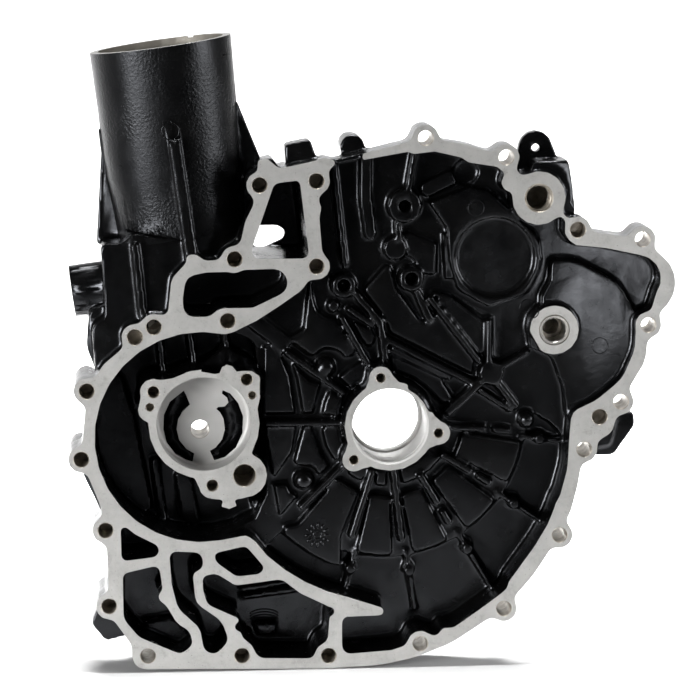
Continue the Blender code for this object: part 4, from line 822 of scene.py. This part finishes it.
def black_paint():
    """Semi-gloss black over a smooth cast skin: orange peel, fine grain, slow waves and a few pale specks."""
    material = new_material("black_paint", (0.0016, 0.0016, 0.0017), 0.24, 0.0)
    paint_colour(material)
    wire(material, between(material, noise(material, 110.0, 4.0), 0.3, 0.7, 0.19, 0.29), "Roughness")
    bumps(material, [
        (noise(material, 22.0, 1.0), 0.0005),
        (noise(material, 170.0, 2.0), 0.0001),
        (noise(material, 900.0, 3.0, 0.6), 0.00003),
    ])
    return material


def coarse_paint():
    """The same black over the rough skin of the tube, where the mould left small lumps."""
    material = new_material("coarse_paint", (0.0016, 0.0016, 0.0017), 0.34, 0.0)
    paint_colour(material, 0.26)
    wire(material, between(material, noise(material, 60.0, 4.0), 0.3, 0.7, 0.27, 0.38), "Roughness")
    lumps = between(material, noise(material, 600.0, 3.0), 0.42, 0.7, 0.0, 1.0)
    patches = between(material, noise(material, 28.0, 2.0), 0.4, 0.6, 0.25, 1.0)
    grown = add(material, "ShaderNodeMath", {"operation": "MULTIPLY"})
    material.node_tree.links.new(lumps, grown.inputs[0])
    material.node_tree.links.new(patches, grown.inputs[1])
    bumps(material, [
        (noise(material, 40.0, 2.0), 0.00025),
        (grown.outputs[0], 0.00012),
        (noise(material, 1300.0, 2.0), 0.00003),
    ])
    return material


def paint_colour(material, gloss=0.42):
    """Black that wanders a little, with rare pale specks of dust."""
    shader = material.node_tree.nodes["Principled BSDF"]
    shader.inputs["Specular IOR Level"].default_value = gloss
    # painted light: the reflections of both black paints are tinted a little blue, for the colour of the
    # lamps
    shader.inputs["Specular Tint"].default_value = (0.9, 0.93, 1.0, 1)
    cloud = between(material, noise(material, 45.0, 3.0), 0.35, 0.65, 0.0, 1.0)
    colour = tint(material, cloud, (0.0011, 0.0011, 0.0012), (0.0024, 0.0023, 0.0022))
    speck = between(material, noise(material, 1500.0, 1.0), 0.76, 0.79, 0.0, 1.0)
    wire(material, tint(material, speck, colour, (0.03, 0.029, 0.026)), "Base Color")


def milled_aluminium():
    """Satin milled face: cloudy greys, stains, oil-darkened pores and shallow cutter marks."""
    material = new_material("milled_aluminium", (0.4, 0.396, 0.384), 0.55, 0.55)
    cloud = between(material, noise(material, 55.0, 5.0, 0.6), 0.35, 0.65, 0.0, 1.0)
    colour = tint(material, cloud, (0.36, 0.356, 0.345), (0.52, 0.515, 0.5))
    grain = between(material, noise(material, 420.0, 3.0, 0.6), 0.3, 0.7, 0.0, 1.0)
    colour = tint(material, grain, colour, (0.46, 0.455, 0.44))
    stain = between(material, noise(material, 130.0, 5.0, 0.7), 0.56, 0.76, 0.0, 0.65)
    colour = tint(material, stain, colour, (0.2, 0.19, 0.175))
    pore = between(material, noise(material, 1300.0, 1.0), 0.7, 0.76, 0.0, 1.0)
    wire(material, tint(material, pore, colour, (0.09, 0.085, 0.078)), "Base Color")
    wire(material, between(material, noise(material, 300.0, 3.0), 0.3, 0.7, 0.5, 0.62), "Roughness")
    rings = {"wave_type": "RINGS", "rings_direction": "Y"}
    marks = add(material, "ShaderNodeTexWave", rings, Vector=own_place(material), Scale=180.0)
    bumps(material, [(marks.outputs["Fac"], 0.000008), (noise(material, 700.0, 3.0), 0.00003)])
    return material


def bored_aluminium():
    """A bored wall or floor with fine turning marks along the depth."""
    material = new_material("bored_aluminium", (0.5, 0.496, 0.484), 0.56, 0.35)
    cloud = between(material, noise(material, 50.0, 3.0), 0.3, 0.7, 0.0, 1.0)
    wire(material, tint(material, cloud, (0.4, 0.396, 0.385), (0.52, 0.515, 0.505)), "Base Color")
    wire(material, between(material, noise(material, 200.0, 3.0), 0.3, 0.7, 0.5, 0.62), "Roughness")
    bumps(material, [(turning_marks(material, 420.0, 0.4), 0.00001), (noise(material, 900.0, 2.0), 0.00001)])
    return material


def drilled_aluminium():
    """The wall of a drilled hole: brownish with oil."""
    material = new_material("drilled_aluminium", (0.3, 0.27, 0.23), 0.4, 0.6)
    cloud = between(material, noise(material, 160.0, 3.0), 0.35, 0.65, 0.0, 1.0)
    wire(material, tint(material, cloud, (0.24, 0.213, 0.178), (0.5, 0.46, 0.4)), "Base Color")
    wire(material, between(material, noise(material, 400.0, 2.0), 0.3, 0.7, 0.3, 0.5), "Roughness")
    bumps(material, [(turning_marks(material, 300.0, 0.3), 0.00002)])
    return material


def bare_casting():
    """The unpainted bore of the tube: a warm grey die-cast skin."""
    material = new_material("bare_casting", (0.25, 0.23, 0.2), 0.55, 0.4)
    cloud = between(material, noise(material, 80.0, 4.0), 0.3, 0.7, 0.0, 1.0)
    wire(material, tint(material, cloud, (0.27, 0.25, 0.215), (0.42, 0.395, 0.35)), "Base Color")
    wire(material, between(material, noise(material, 350.0, 3.0), 0.3, 0.7, 0.45, 0.65), "Roughness")
    bumps(material, [(noise(material, 500.0, 4.0), 0.00015)])
    return material


def ground_steel():
    """The bush: ground rings about its own axis."""
    material = new_material("ground_steel", (0.4, 0.39, 0.365), 0.34, 1.0)
    centred = add(material, "ShaderNodeMapping", Vector=own_place(material))
    centred.inputs["Location"].default_value = (-IDLER_AT[0] * MM, 0, -IDLER_AT[1] * MM)
    rings = add(
        material, "ShaderNodeTexWave", {"wave_type": "RINGS", "rings_direction": "Y"},
        Vector=centred.outputs["Vector"], Scale=500.0, Distortion=0.2,
    )
    wire(material, tint(material, rings.outputs["Fac"], (0.3, 0.29, 0.27), (0.48, 0.465, 0.44)), "Base Color")
    wire(material, between(material, noise(material, 500.0, 2.0), 0.3, 0.7, 0.3, 0.42), "Roughness")
    bumps(material, [(rings.outputs["Fac"], 0.00001)])
    return material


def studio_floor():
    """The pale, nearly matt floor."""
    material = new_material("studio_floor", (0.72, 0.72, 0.72), 0.8, 0.0)
    wire(material, between(material, noise(material, 3.0, 2.0), 0.3, 0.7, 0.76, 0.84), "Roughness")
    return material


# Small pieces


def bush(material):
    """The pressed bush: a ring turned about the idler axis.

    Section point i, at turn t, is (r_i cos t, r_i sin t, h_i). The section has a chamfer at both mouth edges.
    """
    outer, inner, edge = BUSH_OUTER, BUSH_INNER, BUSH_CHAMFER
    section = np.array([
        (outer, edge), (outer - edge, 0), (inner + edge, 0), (inner, edge), (inner, BUSH_LENGTH),
        (outer, BUSH_LENGTH),
    ])
    segments = 128
    turns = np.linspace(0, 2 * np.pi, segments, endpoint=False)
    radius = section[:, :1]
    points = np.stack([
        radius * np.cos(turns), radius * np.sin(turns), np.repeat(section[:, 1:], segments, axis=1),
    ], axis=-1).reshape(-1, 3)
    index = np.arange(len(section) * segments).reshape(len(section), segments)
    below = np.roll(index, -1, axis=0)
    corners = [index, below, np.roll(below, -1, axis=1), np.roll(index, -1, axis=1)]
    faces = np.stack(corners, axis=-1).reshape(-1, 4).tolist()
    mesh = mesh_from_arrays("bush", placed(points, into_depth(IDLER_AT, IDLER_FACE)), faces)
    faces_out(mesh)
    ring = new_piece("bush_ring", mesh, material)
    mesh.set_sharp_from_angle(angle=math.radians(30))
    return ring


def port_thread(material):
    """Internal thread: the radius is the port's less the height times a triangle wave of the helix phase.

    The phase is depth / pitch less the share of a turn, and the thread grows from nothing at its mouth.
    """
    mouth, end, fade_over, clearance = 1.0, 11.5, 1.2, 0.02
    depths = np.linspace(mouth, end, 113)
    turns = np.linspace(0, 2 * np.pi, 97)
    depth, turn = np.meshgrid(depths, turns, indexing="ij")
    phase = (depth / THREAD_PITCH - turn / (2 * np.pi)) % 1.0
    ridge = 1 - abs(2 * phase - 1)
    fade = np.clip((depth - mouth) / fade_over, 0, 1)
    radius = PORT_RADIUS - clearance - THREAD_HEIGHT * ridge * fade
    points = np.stack([radius * np.cos(turn), radius * np.sin(turn), depth], axis=-1)
    points[:, -1] = points[:, 0]
    faces = grid_faces(len(depths), len(turns))
    mesh = mesh_from_arrays("port_thread", placed(points.reshape(-1, 3), into_depth(PORT_AT)), faces)
    thread = new_piece("port_thread", mesh, material)
    mesh.set_sharp_from_angle(angle=math.radians(35))
    return thread


def laid_on(casting, places):
    """Puts points of x and z on the front of the casting, by looking for it along the depth."""
    points = []
    for x, z in places:
        found, point, _, _ = casting.ray_cast(Vector((x * MM, -0.1, z * MM)), Vector((0, 1, 0)))
        if found:
            points.append(point / MM)
    return np.array(points)


def bead(path, radius, closed, sides=8):
    """A round bead along a path: point i, j is p_i + r_i (across_i cos t_j + up_i sin t_j).

    The radius r_i is smaller at free ends.
    """
    along = np.roll(path, -1, axis=0) - np.roll(path, 1, axis=0) if closed else np.gradient(path, axis=0)
    along /= np.linalg.norm(along, axis=1)[:, None]
    across = np.cross(along, (0, -1, 0))
    across /= np.linalg.norm(across, axis=1)[:, None]
    up = np.cross(across, along)
    size = np.full(len(path), radius)
    if not closed:
        size[[0, -1]] *= 0.3
    turn = np.linspace(0, 2 * np.pi, sides, endpoint=False)
    ring = across[:, None] * np.cos(turn)[:, None] + up[:, None] * np.sin(turn)[:, None]
    points = (path[:, None] + size[:, None, None] * ring).reshape(-1, 3)
    index = np.arange(len(points)).reshape(len(path), sides)
    ahead = np.roll(index, -1, axis=0)
    start, end = (index, ahead) if closed else (index[:-1], index[1:])
    corners = [start, np.roll(start, -1, axis=1), np.roll(end, -1, axis=1), end]
    faces = np.stack(corners, axis=-1).reshape(-1, 4).tolist()
    if not closed:
        faces += [index[0].tolist()[::-1], index[-1].tolist()]
    return points, faces


def oval(centre, across, along, turn):
    """Points round a centre: (x + across cos t, z + along sin t)."""
    return np.column_stack([centre[0] + across * np.cos(turn), centre[1] + along * np.sin(turn)])


def cast_marks(casting, material):
    """Ejector circles, a plain date dial and the arcs in the sump, as beads half sunk in the skin."""
    beads = []
    whole = np.linspace(0, 2 * np.pi, 48, endpoint=False)
    for x, z, radius in EJECTOR_MARKS:
        circle = oval((x, z), radius, radius, whole)
        beads.append(bead(laid_on(casting, circle), radius=0.3, closed=True))
    ring = oval(DATE_DIAL, DIAL_RING, DIAL_RING, whole)
    beads.append(bead(laid_on(casting, ring), radius=0.6, closed=True))
    reach = np.array(DIAL_TICK)
    for angle in np.radians(np.arange(0, 360, DIAL_STEP)):
        tick = oval(DATE_DIAL, reach, reach, angle)
        beads.append(bead(laid_on(casting, tick), radius=0.75, closed=False))
    half = np.radians(np.linspace(*SUMP_ARC_ANGLES, 25))
    for centre in SUMP_ARCS:
        arc = oval(centre, *SUMP_ARC_SIZE, half)
        beads.append(bead(laid_on(casting, arc), radius=0.45, closed=False))
    points, faces = [], []
    for more, sides in beads:
        start = sum(len(part) for part in points)
        points.append(more)
        faces += [[start + corner for corner in side] for side in sides]
    mesh = mesh_from_arrays("cast_marks", np.vstack(points) * MM, faces)
    faces_out(mesh)
    return new_piece("cast_marks", mesh, material)


# Studio


def floor_sweep(material):
    """A pale floor that curves up into a tall backdrop: a run, a quarter circle and a rise, drawn along X.

    Its points in y and z are (bend_at + bend cos t, low + bend + bend sin t), for t from -90 to 0 degrees.
    """
    low, reach, bend_at, bend, top = -139.2, 5000.0, 4000.0, 900.0, 4500.0
    run = [(-reach, low)]
    for turn in np.radians(np.linspace(-90, 0, 13)):
        run.append((bend_at + bend * math.cos(turn), low + bend + bend * math.sin(turn)))
    run.append((bend_at + bend, top))
    across = np.linspace(-reach, reach, 9)
    points = np.array([[(x, y, z) for x in across] for y, z in run]).reshape(-1, 3)
    mesh = mesh_from_arrays("floor_sweep", points * MM, grid_faces(len(run), len(across)))
    return new_piece("floor_sweep", mesh, material)


def camera():
    """The camera of the photograph."""
    data = bpy.data.cameras.new("camera")
    data.lens = CAMERA_LENS
    data.sensor_width = 36.0
    data.clip_end = 20.0
    eye = bpy.data.objects.new("camera", data)
    right = Vector(CAMERA_RIGHT).normalized()
    up = Vector(CAMERA_UP).normalized()
    back = right.cross(up)
    turn = Matrix((right, up, back)).transposed().to_4x4()
    eye.matrix_world = Matrix.Translation(Vector(CAMERA_AT) * MM) @ turn
    bpy.context.scene.collection.objects.link(eye)
    bpy.context.scene.camera = eye


def soft_box(name, at, target, size, power, spread):
    """A soft box aimed at a point, in metres and watts. Its grid narrows the light to a spread in degrees."""
    data = bpy.data.lights.new(name, "AREA")
    data.shape = "RECTANGLE"
    data.size, data.size_y = size
    data.energy = power
    data.spread = math.radians(spread)
    lamp = bpy.data.objects.new(name, data)
    aim = Vector(target) - Vector(at)
    lamp.matrix_world = Matrix.Translation(Vector(at)) @ aim.to_track_quat("-Z", "Y").to_matrix().to_4x4()
    bpy.context.scene.collection.objects.link(lamp)


def lights():
    """Soft boxes from both sides and from above, and a bright floor and backdrop behind the cover.

    A thin light runs along the foot, and a small card stands before the idler's ledge.
    """
    world = bpy.data.worlds.new("studio")
    world.use_nodes = True
    background = world.node_tree.nodes["Background"]
    background.inputs["Color"].default_value = (0.93, 0.96, 1.0, 1)
    background.inputs["Strength"].default_value = 0.03
    bpy.context.scene.world = world
    bpy.context.scene.view_settings.view_transform = "Standard"
    soft_box("side_right", (1.55, -0.6, 0.35), (0.0, 0.0, 0.1), (0.9, 0.8), 2.4, 60)
    soft_box("side_left", (-1.25, -1.0, 0.05), (-0.05, 0.0, -0.07), (0.8, 0.7), 4.8, 60)
    soft_box("overhead", (0.1, 1.3, 1.7), (0.0, 0.8, 0.0), (1.8, 0.8), 34, 40)
    soft_box("floor_light", (0.0, 2.6, 2.4), (0.0, 2.6, -0.14), (5.0, 3.8), 200, 60)
    soft_box("foot_light", (0.0, -0.06, 1.5), (0.0, -0.06, -0.14), (1.0, 0.05), 0.6, 8)
    soft_box("backdrop_light", (0.0, 2.6, 2.0), (0.0, 5.0, 1.0), (4.0, 1.0), 50, 140)
    soft_box("ledge_card", (0.15, -0.2, 0.05), (0.117, 0.0, 0.075), (0.045, 0.04), 0.006, 60)


# Putting it together

camera()
lights()
casting = finished_casting([
    black_paint(), milled_aluminium(), bored_aluminium(), drilled_aluminium(), bare_casting(), coarse_paint(),
])
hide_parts("cover_casting")
steel = ground_steel()
ring = bush(steel)
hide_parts("idler_shaft_bush")
thread = port_thread(drilled_aluminium())
marks = cast_marks(casting, casting.data.materials[0])
for piece in (casting, ring, thread, marks):
    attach(piece, "root")
floor_sweep(studio_floor())
